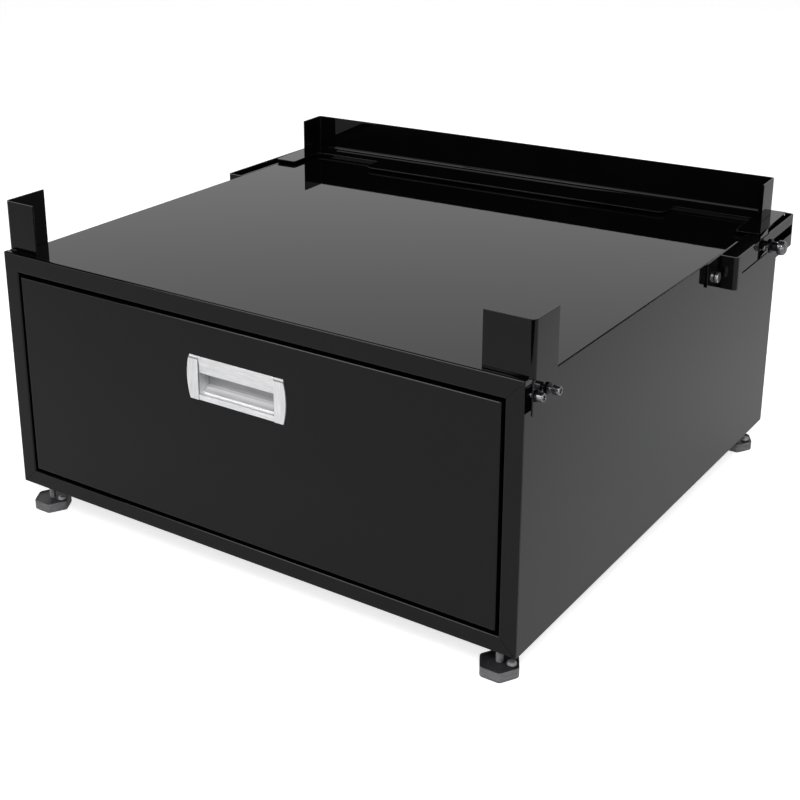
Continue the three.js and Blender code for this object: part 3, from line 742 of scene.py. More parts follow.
def add_piece(
    name: str,
    bm: BMesh,
    finish: Material,
    body: str,
    stands_for: Sequence[str] = (),
    sheet: float = 0.0,
    soften: float = 0.0,
    others: Sequence[Material] = (),
    lined: bool = False,
) -> None:
    """Turns a mesh in the cabinet's millimetres into a finished piece that rides on a body.

    Args:
        name: The piece's name.
        bm: Its mesh, which is used up.
        finish: Its finish.
        body: The body that it moves with.
        stands_for: CAD nodes that it replaces.
        sheet: Thickness that an open surface gets, or 0 for a solid.
        soften: Width of the rounding on sharp edges, or 0 for none.
        others: Finishes of the faces whose material index is 1 and above.
        lined: Whether the inside of the sheet has the second finish.
    """
    bmesh.ops.scale(bm, vec=(MM, MM, MM), verts=bm.verts[:])
    shift(bm, ORIGIN)
    piece = mesh_object(name, bm, finish, *others)
    polygons = piece.data.polygons
    polygons.foreach_set("use_smooth", [True] * len(polygons))
    piece.data.update()
    if sheet:
        solid = piece.modifiers.new("Thickness", "SOLIDIFY")
        solid.thickness = sheet * MM
        solid.offset = -1.0
        solid.use_even_offset = True
        solid.material_offset = int(lined)
    if soften:
        edge = piece.modifiers.new("Edges", "BEVEL")
        edge.width = soften * MM
        edge.segments = 2
        edge.limit_method = "ANGLE"
        edge.angle_limit = math.radians(40)
        edge.use_clamp_overlap = True
    normal = piece.modifiers.new("Normals", "WEIGHTED_NORMAL")
    normal.weight = 100
    normal.keep_sharp = True
    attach(piece, body)
    if stands_for:
        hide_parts(*stands_for)
    LOG.info("%s rides on %s, %d faces", name, body, len(polygons))


def dress(finish: Material, *nodes: str) -> None:
    """Gives CAD nodes their finish.

    Args:
        finish: The finish.
        *nodes: The nodes, which keep their CAD shape.
    """
    for node in nodes:
        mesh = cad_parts[node].data
        mesh.materials.clear()
        mesh.materials.append(finish)
        LOG.info("%s keeps its CAD shape in %s", node, finish.name)


@dataclass
class Cabinet:
    """Deck, panels, base and hidden braces."""

    finishes: Finishes
    deck_edge: float = 0.95
    base_front: float = 5.3
    nut_flats: float = 18.0
    nut_height: float = 6.0
    nut_bevel: float = 0.7
    foot_columns: Point2 = (315.5, 321.0)
    foot_rows: Point2 = (17.5, 645.0)

    def foot_places(self) -> list[tuple[str, float, float]]:
        """Each foot's name and where its stud stands."""
        rows = zip(("front", "rear"), self.foot_columns, self.foot_rows)
        return [(f"{row}_{side.word}", side.value * x, y) for row, x, y in rows for side in Side]

    def make(self) -> None:
        """Builds and dresses the pieces."""
        body, inner = self.finishes.body, self.finishes.inner
        deck = slab((-HALF, HALF), (SHEET + FIT, DEPTH), (DECK_TOP - SHEET, DECK_TOP))
        round_off(deck, edges_at(deck, z=DECK_TOP), self.deck_edge)
        add_piece("deck", deck, body, "cabinet", ["top_panel"])
        inside = HALF - SHEET - FIT
        base = slab((-inside, inside), (self.base_front, DEPTH - SHEET - FIT), (0.0, SHEET))
        add_piece("base_sheet", base, inner, "cabinet", ["base_pan"], soften=0.3)
        for name, x, y in self.foot_places():
            spot = (x, y, -self.nut_height)
            nut = hexagon(self.nut_flats, self.nut_height, Axis.Z, spot, self.nut_bevel)
            turn(nut, 30.0, centre=spot)
            add_piece(f"weld_nut_{name}", nut, self.finishes.grey_plate, "cabinet", soften=0.2)
        dress(body, "side_panel_left", "side_panel_right", "rear_panel")
        dress(inner, "top_brace_front", "top_brace_rear")


@dataclass
class FaceFrame:
    """The four lipped members of the face frame, which meet in mitres."""

    finishes: Finishes
    stile: float = 20.2
    top: float = 22.7
    bottom: float = 19.0
    lip: float = 15.0
    crown_lip: float = 6.0
    foot_lip: float = 5.0
    crown_radius: float = 1.9
    opening_radius: float = 1.8
    seam: float = 0.12

    def make(self) -> None:
        """Builds the members."""
        low, inner = HEIGHT - self.top, HALF - self.stile
        bend, level = self.opening_radius, (-HALF, HALF)
        crown = ((self.lip, low), (0.0, low), (0.0, HEIGHT), (self.crown_lip, HEIGHT))
        crown = folded_sheet(crown, (bend, self.crown_radius), Axis.X, level)
        self.mitre(crown, self.top, HEIGHT, True)
        sill = ((self.foot_lip, 0.0), (0.0, 0.0), (0.0, self.bottom), (self.lip, self.bottom))
        sill = folded_sheet(sill, (bend, bend), Axis.X, level)
        self.mitre(sill, -self.bottom, 0.0, True)
        members = [("crown", "top_rail", crown), ("sill", "bottom_rail", sill)]
        for side in Side:
            post = ((HALF, 0.0), (inner, 0.0), (inner, self.lip))
            post = folded_sheet(post, (bend,), Axis.Z, (0.0, HEIGHT))
            self.mitre(post, self.top, HEIGHT, False)
            self.mitre(post, -self.bottom, 0.0, False)
            members.append((f"post_{side.word}", f"stile_{side.word}", on_side(post, side)))
        coat = self.finishes.body
        for name, node, bm in members:
            add_piece(f"frame_{name}", bm, coat, "cabinet", [f"frame_{node}"], SHEET, 0.25)

    def mitre(self, bm: BMesh, rise: float, corner_z: float, outwards: bool) -> None:
        """Cuts the mitres at both ends of a level member, or at one corner of a post.

        Args:
            bm: The member.
            rise: Height of the level member at this corner, negative at the bottom.
            corner_z: Height of the outer corner.
            outwards: True for a level member, which loses what lies outside the mitre.
        """
        across = Vector((self.stile, 0.0, rise)).normalized().cross(Axis.Y.vector)
        if across.x < 0:
            across.negate()
        for sign in (1.0, -1.0) if outwards else (1.0,):
            away = Vector((across.x * sign, 0.0, across.z)) * (1.0 if outwards else -1.0)
            cut(bm, Vector((HALF * sign, 0.0, corner_z)) - away * self.seam, away, clear=True)


@dataclass
class Drawer:
    """Drawer front and the dressed box behind it."""

    finishes: Finishes
    half_width: float = 318.8
    bottom: float = 23.0
    top: float = 269.3
    depth: float = 18.0
    edge_radius: float = 2.0
    hole_half: float = 53.4
    hole: Point2 = (185.2, 229.5)

    def make(self) -> None:
        """Builds the front and dresses the box."""
        bm = slab((-self.half_width, self.half_width), (0.0, self.depth), (self.bottom, self.top))
        back = [face for face in bm.faces if face.normal.y > 0.9]
        bmesh.ops.delete(bm, geom=back, context="FACES")
        round_off(bm, [edge for edge in bm.edges if len(edge.link_faces) == 2], self.edge_radius)
        open_window(bm, (-self.hole_half, -1.0, self.hole[0]), (self.hole_half, 1.0, self.hole[1]))
        body, inner = self.finishes.body, self.finishes.inner
        add_piece("drawer_face", bm, body, "drawer", ["drawer_front"], sheet=SHEET, soften=0.25)
        dress(inner, "drawer_front_liner", "drawer_back", "drawer_bottom")
        for side in Side:
            dress(inner, f"drawer_side_{side.word}")
            dress(self.finishes.zinc, f"pull_screw_{side.word}")
            for member in ("inner", "middle", "outer", "spacer"):
                dress(self.finishes.slide_steel, f"slide_{member}_{side.word}")


@dataclass
class Pull:
    """The recessed aluminium pull: a cup with a tilted finger lip, and two bowed end caps."""

    finishes: Finishes
    middle: float = 206.0
    height: float = 50.6
    length: float = 126.6
    cap: float = 12.0
    bow: float = 3.6
    bow_cuts: int = 13
    proud: float = 1.8
    rim: float = 1.0
    cup: float = 17.5
    wall: float = 1.5
    sill: float = 6.3
    ledge: float = 4.0
    step: float = 2.0
    lip: float = 20.0
    lip_edge: float = 1.0
    tilt: float = 2.2
    seam: float = 0.04
    mitre: Point2 = (1.7, 3.8)
    scoop_radius: float = 9.0
    belly_radius: float = 9.5
    cap_radius: float = 1.5
    lip_back: float = 3.0
    lit_rise: float = 5.0

    def make(self) -> None:
        """Builds the tray and its caps."""
        metals = self.finishes
        # The cup's inside takes painted light and shade in three bands.
        add_piece(
            "pull_cup", self.tray(), metals.aluminium, "drawer", ["pull_tray"], soften=0.35,
            others=[metals.recess, metals.scoop, metals.scoop_edge],
        )
        # Each cap's mitre is in the darker aluminium, painted shade.
        for side in Side:
            add_piece(
                f"pull_end_{side.word}", on_side(self.end_cap(), side), metals.cap_aluminium, "drawer",
                [f"pull_cap_{side.word}"], soften=0.3, others=[metals.cap_mitre],
            )

    def tray(self) -> BMesh:
        """Draws out the cup, the sill and the lip.

        Returns:
            The tray, with the cup's inside in three finishes of painted light and shade: lit low down on the
            scoop and shaded on the wall under the lip.
        """
        low = self.middle - self.height / 2
        high = self.middle + self.height / 2
        floor = low + self.sill
        under = floor - self.wall
        roof = high - self.sill / 3
        inside = self.cup - self.wall
        lip_low = high - self.lip
        lip_front = self.tilt - self.rim
        half = self.length / 2 - self.cap + FIT - self.seam
        section = [
            (-self.rim, low), (0.0, low), (0.0, under), (self.cup, under), (self.cup, roof), (0.0, roof),
            (0.0, high), (-self.rim, high), (-self.rim, high - self.lip_edge), (lip_front, lip_low),
            (lip_front + self.wall, lip_low), (lip_front + self.wall, roof - self.wall),
            (inside, roof - self.wall), (inside, floor + self.step), (self.ledge, floor + self.step),
            (self.ledge, floor), (-self.rim, floor),
        ]
        bm = drawn_out(section, Axis.X, (-half, half))
        round_off(bm, edges_at(bm, Axis.X, y=inside, z=floor + self.step), self.scoop_radius, 10)
        round_off(bm, edges_at(bm, Axis.X, y=self.cup, z=under), self.belly_radius, 8)
        # Painted light and shade on the cup's inside: light on the low scoop, half shade above it, shade on
        # the wall under the lip.
        recess, scoop, scoop_edge = 1, 2, 3
        for face in bm.faces:
            middle = face.calc_center_median()
            rise = middle.z - floor - self.step
            if self.lip_back < middle.y < self.cup - 0.5 and rise > -0.1:
                if rise < self.lit_rise / 2:
                    face.material_index = scoop
                else:
                    face.material_index = scoop_edge if rise < self.lit_rise else recess
        return bm

    def end_cap(self) -> BMesh:
        """Makes the right-hand cap, with the wall that closes the cup.

        Returns:
            The cap, with the darker finish of painted shade on its mitre.
        """
        low = self.middle - self.height / 2
        high = self.middle + self.height / 2
        inner = self.length / 2 - self.cap + FIT
        outer = self.length / 2
        bm = drawn_out([(inner, low), (outer, low), (outer, high), (inner, high)], Axis.Y, (-self.proud, 0.0))
        sides = edges_at(bm, Axis.Z, x=outer)
        bmesh.ops.subdivide_edges(bm, edges=sides, cuts=self.bow_cuts, use_grid_fill=True)
        for vert in bm.verts:
            if abs(vert.co.x - outer) < NEAR:
                height = (vert.co.z - self.middle) / (self.height / 2)
                vert.co.x += self.bow * (1.0 - height * height)
        depth, rise = self.mitre
        cut(bm, (0.0, -self.proud, high - rise), (0.0, -rise, depth), clear=True, fill=True)
        # The mitre facet takes the darker finish, painted shade.
        for face in bm.faces:
            if abs(face.normal.y) > 0.5 and abs(face.normal.z) > 0.1:
                face.material_index = 1
        front = edges_at(bm, y=-self.proud)
        rim = [edge for edge in front if all(vert.co.x > outer - NEAR for vert in edge.verts)]
        round_off(bm, rim + edges_at(bm, y=-self.proud, z=low), self.cap_radius)
        roof = high - self.sill / 3
        wall = slab((inner, inner + self.wall), (-self.rim, self.cup), (low + self.sill - self.wall, roof))
        return merged(bm, wall)


@dataclass
class CornerBracket:
    """A front corner bracket with its two bolts and washers."""

    finishes: Finishes
    side: Side
    front_leg: float
    side_leg: float
    set_back: float
    stand_off: float
    sheet: float = 2.0
    radius: float = 6.0
    top: float = 354.0
    shoulder: float = 294.8
    foot: float = 259.0
    travel: float = 2.7
    bolt_z: float = 278.0
    bolt_inset: float = 6.0
    bolt_pitch: float = 22.5
    bolt_tail: float = 6.0
    reach: Point2 = (6.8, 12.0)
    thread: Thread = Thread(2.5, 0.84, 0.8)
    head_length: float = 8.0
    socket_head: Profile = (
        (0.0, 0.0), (4.1, 0.0), (4.6, 0.5), (4.6, 6.8), (4.25, 7.5), (3.5, 8.0), (2.6, 8.0), (2.3, 7.7),
        (2.3, 4.8), (0.0, 4.0),
    )
    washer: float = 5.7
    washer_thickness: float = 1.6

    def make(self) -> None:
        """Builds the bracket and what holds it."""
        node = f"corner_bracket_{self.side.word}"
        angle = on_side(self.angle(), self.side)
        name = f"angle_bracket_{self.side.word}"
        add_piece(name, angle, self.finishes.body, node, [node], sheet=self.sheet, soften=0.4)
        face = HALF + FIT + self.travel + self.sheet + FIT
        for row, step, reach in zip(("front", "rear"), (0.0, self.bolt_pitch), self.reach):
            place = (self.set_back + self.bolt_inset + step, self.bolt_z)
            seat = face + self.washer_thickness + reach - self.head_length
            head = turned(self.socket_head, Axis.X, (seat, *place), 36)
            shank = self.thread.rod(Axis.X, (0.0, *place), HALF - SHEET - self.bolt_tail, seat + 0.5)
            disc = ring(self.thread.radius + FIT, self.washer, self.washer_thickness)
            disc = turned(disc, Axis.X, (face, *place), 40)
            word = f"{self.side.word}_{row}"
            add_piece(
                f"bracket_screw_{word}", on_side(merged(head, shank), self.side), self.finishes.screw_steel,
                "cabinet", [f"bracket_bolt_{word}"],
            )
            add_piece(
                f"bracket_disc_{word}", on_side(disc, self.side), self.finishes.dark_plate, "cabinet",
                [f"bracket_washer_{word}"], soften=0.25,
            )

    def angle(self) -> BMesh:
        """Folds the angle, whose front leg ends at the shoulder.

        Returns:
            Its outer face.
        """
        outer = HALF + self.stand_off + self.sheet
        back = self.set_back + self.side_leg
        section = ((outer, back), (outer, self.set_back), (outer - self.front_leg, self.set_back))
        bm = folded_sheet(section, (self.radius,), Axis.Z, (self.foot, self.top), 6)
        bend_end = self.set_back + self.radius
        open_window(bm, (-math.inf, -math.inf, -math.inf), (math.inf, bend_end, self.shoulder))
        for edge in edges_at(bm, Axis.Z, x=outer, y=bend_end):
            if max(vert.co.z for vert in edge.verts) < self.shoulder + NEAR:
                grow(bm, edge, (0.0, -self.radius, 0.0))
        side_face = max(bm.faces, key=lambda face: face.calc_area() * face.normal.x**2)
        face_outwards(bm, side_face, Axis.X.vector)
        return bm


@dataclass
class SlottedArm:
    """A slotted channel at the back of a side panel, with its mounting tab and hex bolt.

    Both arms are one part: the left one is the right one turned end for end, and the right one's
    back end rises a little about its bolt.
    """

    finishes: Finishes
    side: Side
    sheet: float = 2.0
    radius: float = 5.0
    width: float = 23.7
    height: float = 40.5
    front: float = 468.0
    back: float = 660.0
    tab: float = 36.0
    tab_rise: float = 11.5
    tab_lap: float = 7.5
    tab_skin: float = 0.05
    slot: Point2 = (534.0, 656.0)
    slot_low: float = 264.5
    slot_height: float = 12.5
    slot_bolt_drop: float = 5.5
    slit_length: float = 49.0
    slit_height: float = 2.6
    bolt: Point2 = (457.0, 265.5)
    bolt_flats: float = 11.5
    bolt_head: float = 4.2
    bolt_bevel: float = 0.6
    bolt_tail: float = 8.0
    thread: Thread = Thread()
    tilt: float = 1.9
    relief_reach: float = 12.1
    relief_low: float = 291.7

    def make(self) -> None:
        """Builds the arm and its bolt."""
        word = self.side.word
        coat = self.finishes.body
        channel = self.placed(self.channel())
        near, far = sorted((self.side.value * HALF, self.side.value * (HALF + self.relief_reach)))
        open_window(channel, (near, 0.0, self.relief_low), (far, DEPTH, math.inf))
        # The channel's inside is lined with the duller coat, painted shade seen through the slot.
        add_piece(
            f"slotted_channel_{word}", channel, coat, "cabinet", [f"arm_{word}"], sheet=self.sheet,
            soften=0.35, others=[self.finishes.thin_coat], lined=True,
        )
        add_piece(f"channel_tab_{word}", self.placed(self.mounting_tab()), coat, "cabinet", soften=0.35)
        bolt = self.placed(self.hex_bolt())
        steel = self.finishes.slide_steel
        add_piece(f"channel_bolt_{word}", bolt, steel, "cabinet", [f"arm_bolt_{word}"])

    def placed(self, bm: BMesh) -> BMesh:
        """Lays a shape drawn for the level right arm where this arm is.

        Args:
            bm: The shape.

        Returns:
            The same mesh.
        """
        if self.side is Side.RIGHT:
            turn(bm, self.tilt, Axis.X, (0.0, *self.bolt))
        else:
            turn(bm, 180.0, Axis.Z, (0.0, (self.front - self.tab + self.back) / 2, 0.0))
        return bm

    def channel(self) -> BMesh:
        """Makes the closed channel with the slot and the slit in its outer wall.

        Returns:
            Its outer face.
        """
        outer = HALF + self.width
        bm = slab((HALF + FIT, outer), (self.front, self.back), (DECK_TOP - self.height, DECK_TOP))
        ends = [face for face in bm.faces if abs(face.normal.z) > 0.9]
        bmesh.ops.delete(bm, geom=ends, context="FACES")
        round_off(bm, edges_at(bm, Axis.Z), self.radius, 6)
        start, end = self.slot
        cuts = ((start, end, self.slot_height), (start - self.slit_length, start, self.slit_height))
        for front, back, height in cuts:
            low = (outer - 1.0, front, self.slot_low)
            open_window(bm, low, (outer + 1.0, back, self.slot_low + height))
        return bm

    def mounting_tab(self) -> BMesh:
        """Makes the flat tab in front of the channel, whose lower edge climbs to the front.

        Returns:
            The tab.
        """
        inner = HALF + FIT
        low = DECK_TOP - self.height
        skin = self.tab_skin
        length = (self.front - self.tab, self.front + self.tab_lap)
        bm = slab((inner + skin, inner + self.sheet - skin), length, (low, DECK_TOP - skin))
        cut(bm, (inner, self.front, low), (0.0, -self.tab_rise, -self.tab), clear=True, fill=True)
        return bm

    def hex_bolt(self) -> BMesh:
        """Makes the hex bolt through the tab.

        Returns:
            The bolt.
        """
        seat = HALF + FIT + self.sheet + FIT
        head = hexagon(self.bolt_flats, self.bolt_head, Axis.X, (seat, *self.bolt), self.bolt_bevel)
        shank = self.thread.rod(Axis.X, (0.0, *self.bolt), HALF - SHEET - self.bolt_tail, seat + 0.4)
        return merged(head, shank)


@dataclass
class RearRail:
    """The folded rail behind the washer and its slot bolts."""

    finishes: Finishes
    sheet: float = 2.0
    middle_y: float = 630.0
    skew: float = 3.0
    top: float = 341.0
    base_top: float = 294.0
    half_length: float = 341.0
    flange: float = 41.0
    base_half: float = 223.0
    base_depth: float = 64.0
    base_corner: float = 12.0
    end_depth: float = 29.0
    end_bend: float = 2.0
    wing_inner: float = 324.0
    wing_outer: float = 355.0
    wing_front: float = 91.0
    wing_back: float = 18.0
    wing_corner: float = 4.0
    fillet: float = 2.0
    tab_width: float = 30.0
    tab_length: float = 36.0
    tab_bend: float = 3.0
    foot_gap: float = 0.1
    bolt_back: float = 72.5
    arm_outer: float = 366.7
    thread: Thread = Thread()
    washer: Point3 = (4.3, 8.5, 2.2)
    collar_length: float = 8.0
    collar: Profile = ((0.0, 0.0), (5.2, 0.0), (5.5, 0.3), (5.5, 8.0), (0.0, 8.0))
    dome: Profile = (
        (0.0, 0.0), (8.6, 0.0), (9.2, 0.6), (9.2, 4.2), (8.9, 5.8), (8.0, 7.4), (6.4, 8.7), (4.4, 9.4),
        (0.0, 9.5),
    )
    nut: Point3 = (13.0, 4.0, 0.5)
    nut_gap: float = 0.7

    def make(self) -> None:
        """Builds the rail and what holds it."""
        bm = self.rail()
        turn(bm, self.skew)
        shift(bm, (0.0, self.middle_y, 0.0))
        # The rail's second finish is the duller coat, painted shade on its tabs.
        add_piece(
            "back_rail", bm, self.finishes.body, "rear_rail", ["rear_rail"], sheet=self.sheet, soften=0.4,
            others=[self.finishes.thin_coat],
        )
        for side in Side:
            self.make_fasteners(side)

    def plan(self, bm: BMesh) -> BMFace:
        """Draws the base flange's top face: deep middle, shallow ends and a wing over each arm.

        Args:
            bm: The mesh that gets it.

        Returns:
            The face.
        """
        base, inner, outer = self.base_half, self.wing_inner, self.wing_outer
        tab = self.tab_width / 2
        half = [
            (base, -self.base_depth), (base, -self.end_depth), (inner, -self.end_depth),
            (inner, -self.wing_front), (outer, -self.wing_front), (outer, -self.bolt_back - tab),
            (outer, -self.bolt_back + tab), (outer, self.wing_back), (inner, self.wing_back),
            (inner, -self.fillet),
        ]
        mirrored = [(-x, y) for x, y in reversed(half)]
        return bm.faces.new([bm.verts.new((x, y, self.base_top)) for x, y in half + mirrored])

    def raise_back(self, bm: BMesh) -> None:
        """Folds the upright up from the base flange.

        Args:
            bm: The mesh with the plan.
        """
        behind = edges_at(bm, y=-self.fillet)
        fold = next(edge for edge in behind if abs(edge.calc_length() - 2 * self.wing_inner) < NEAR)
        raised = bmesh.ops.spin(
            bm, geom=[fold, *fold.verts], cent=(0.0, -self.fillet, self.base_top + self.fillet),
            axis=(1.0, 0.0, 0.0), angle=math.pi / 2, steps=6, use_merge=False, use_duplicate=False,
        )["geom_last"]
        grow(bm, edges_in(raised)[0], (0.0, 0.0, self.top - self.base_top - self.fillet))

    def add_end(self, bm: BMesh, sign: float, inner_half: float) -> None:
        """Draws one end of the upright out, down to just above the wing, and folds its return.

        Args:
            bm: The mesh with the upright.
            sign: The side of the end.
            inner_half: How far out the return stands.
        """
        ends = edges_at(bm, x=sign * self.wing_inner, y=0.0)
        end = next(edge for edge in ends if max(vert.co.z for vert in edge.verts) > self.top - NEAR)
        low_end = min(end.verts, key=lambda vert: vert.co.z)
        corner = grow(bm, end, (sign * (inner_half - self.wing_inner), 0.0, 0.0))
        low_corner = min(corner.verts, key=lambda vert: vert.co.z)
        under = next(edge for edge in low_end.link_edges if low_corner in edge.verts)
        middle = bmesh.utils.edge_split(under, low_end, 0.01)[1]
        for vert in (middle, low_corner):
            vert.co.z = self.base_top + self.foot_gap
        grow(bm, corner, (0.0, -self.flange, 0.0))

    def rail(self) -> BMesh:
        """Folds the whole rail in its own frame.

        Returns:
            Its upper face, with the duller coat of painted shade below the folds of the tabs.
        """
        bm = bmesh.new()
        base = self.plan(bm)
        self.raise_back(bm)
        inner_half = self.half_length - self.sheet
        for side in Side:
            self.add_end(bm, side.value, inner_half)
        for side in Side:
            for edge in edges_at(bm, x=side.value * self.wing_outer):
                if abs(edge.calc_length() - self.tab_width) < NEAR:
                    grow(bm, edge, (0.0, 0.0, -self.tab_length))
        bmesh.ops.remove_doubles(bm, verts=bm.verts[:], dist=WELD_DISTANCE)
        face_outwards(bm, base, Axis.Z.vector)
        for radius, x, y in (
            (self.base_corner, self.base_half, -self.base_depth),
            (self.wing_corner, self.wing_inner, -self.wing_front),
            (self.wing_corner, self.wing_outer, -self.wing_front),
        ):
            pair = [v for v in bm.verts if abs(abs(v.co.x) - x) < NEAR and abs(v.co.y - y) < NEAR]
            round_off(bm, pair, radius, 6, "VERTICES")
        inner = [edge for edge in bm.edges if len(edge.link_faces) == 2]
        ends = [e for e in inner if along(e, Axis.Z) and abs(abs(e.verts[0].co.x) - inner_half) < NEAR]
        round_off(bm, ends, self.end_bend)
        level = [edge for edge in edges_at(bm, z=self.base_top) if len(edge.link_faces) == 2]
        tabs = [edge for edge in level if abs(edge.calc_length() - self.tab_width) < NEAR]
        round_off(bm, tabs, self.tab_bend)
        # Below the folds the tabs take the duller coat, painted shade.
        for face in bm.faces:
            if all(vert.co.z < self.base_top - 0.9 * self.tab_bend for vert in face.verts):
                face.material_index = 1
        return bm

    def make_fasteners(self, side: Side) -> None:
        """Makes a slot bolt with its washer outside the arm and its nut outside the tab.

        Args:
            side: The side of the cabinet.
        """
        skew = Matrix.Rotation(math.radians(self.skew), 3, "Z")
        hole = skew @ Vector((side.value * self.wing_outer, -self.bolt_back, 0.0))
        tab_face, y = abs(hole.x), self.middle_y + hole.y
        arm = SlottedArm(self.finishes, side)
        z = arm.slot_low + arm.slot_height - arm.slot_bolt_drop
        if side is Side.RIGHT:
            slope = math.radians(arm.tilt)
            z = arm.bolt[1] + (y - arm.bolt[0]) * math.sin(slope) + (z - arm.bolt[1]) * math.cos(slope)
        face = self.arm_outer + FIT
        collar = face + self.washer[2] + FIT
        head = turned(self.dome, Axis.X, (collar + self.collar_length, y, z), 40)
        shank = self.thread.rod(Axis.X, (0.0, y, z), tab_face - 2 * self.sheet, collar)
        sleeve = turned(self.collar, Axis.X, (collar, y, z), 32)
        disc = turned(ring(*self.washer), Axis.X, (face, y, z), 44)
        flats, height, bevel = self.nut
        nut = hexagon(flats, height, Axis.X, (tab_face + self.nut_gap, y, z), bevel)
        steel, dark, zinc = self.finishes.screw_steel, self.finishes.dark_plate, self.finishes.zinc
        for name, bm, finish, node, slot, soften in (
            ("bolt", merged(head, shank), steel, "rail_bolt", ZINC, 0.0),
            ("bolt_collar", sleeve, dark, None, DARK_WASHER, 0.0),
            ("washer", disc, dark, "rail_washer", DARK_WASHER, 0.3),
            ("nut", nut, zinc, "rail_nut", ZINC, 0.0),
        ):
            stands_for = [f"{node}_{side.word}"] if node else []
            piece = f"slot_{name}_{side.word}"
            add_piece(piece, on_side(bm, side), finish, "rear_rail", stands_for, soften=soften)


@dataclass
class LevellingFoot:
    """A hexagonal foot pad with its threaded stud."""

    finishes: Finishes
    name: str
    x: float
    y: float
    top: float = -21.0
    height: float = 12.0
    radius: float = 23.0
    corner: float = 3.0
    rim: float = 2.2
    dish: float = 1.3
    sole_bevel: float = 1.4
    thread: Thread = Thread(root=0.86, steps=24)
    stud_top: float = 16.5
    button: Profile = (
        (0.0, -1.0), (5.2, -1.0), (5.2, 0.2), (4.784, 1.75), (3.64, 2.8), (2.08, 3.325), (0.0, 3.5),
    )
    button_offset: Point2 = (12.5, 3.0)

    def make(self) -> None:
        """Builds the pad, its button and the stud."""
        name, body = self.name, f"foot_{self.name}"
        kit = self.finishes
        pad, node = self.pad(), f"foot_pad_{name}"
        # The pad's top is in the darker plastic, painted shade.
        add_piece(
            f"foot_base_{name}", pad, kit.plastic, body, [node], soften=0.35, others=[kit.pad_top]
        )
        across, back = self.button_offset
        button = turned(self.button, Axis.Z, (self.x + across, self.y + back, self.top))
        add_piece(f"foot_button_{name}", button, kit.button, body)
        stud = self.thread.rod(Axis.Z, (self.x, self.y, 0.0), self.top, self.stud_top)
        add_piece(f"foot_screw_{name}", stud, kit.grey_plate, body, [f"foot_stud_{name}"])

    def pad(self) -> BMesh:
        """Makes the six-sided pad with rounded corners, a chamfered sole and a dished top.

        Returns:
            The pad, with the darker finish of painted shade on its top.
        """
        bm = prism(self.radius, self.height)
        turn(bm, 30.0)
        round_off(bm, edges_at(bm, Axis.Z), self.corner)
        lid = max(bm.faces, key=lambda face: face.calc_center_median().z)
        bmesh.ops.inset_region(bm, faces=[lid], thickness=self.rim, use_even_offset=True)
        bmesh.ops.translate(bm, vec=(0.0, 0.0, -self.dish), verts=list(lid.verts))
        # The dished top and its rim take the darker plastic, painted shade.
        for face in {lid, *(near for edge in lid.edges for near in edge.link_faces)}:
            face.material_index = 1
        round_off(bm, edges_at(bm, z=-self.height / 2), self.sole_bevel, 3)
        shift(bm, (self.x, self.y, self.top - self.height / 2))
        return bm


# ---------- studio


@dataclass(frozen=True)
class Lamp:
    """A square area lamp that faces the middle of the floor, in metres and watts."""

    name: str
    place: Point3
    size: float
    energy: float
    mirrored: bool = True
    diffuse: bool = True

    def make(self) -> None:
        """Puts the lamp into the scene."""
        data = bpy.data.lights.new(self.name, "AREA")
        data.shape = "SQUARE"
        data.size = self.size
        data.energy = self.energy
        lamp = linked(self.name, data)
        lamp.location = self.place
        lamp.rotation_euler = Vector(self.place).to_track_quat("Z", "Y").to_euler()
        lamp.visible_glossy = self.mirrored
        lamp.visible_diffuse = self.diffuse
        lamp.visible_camera = False


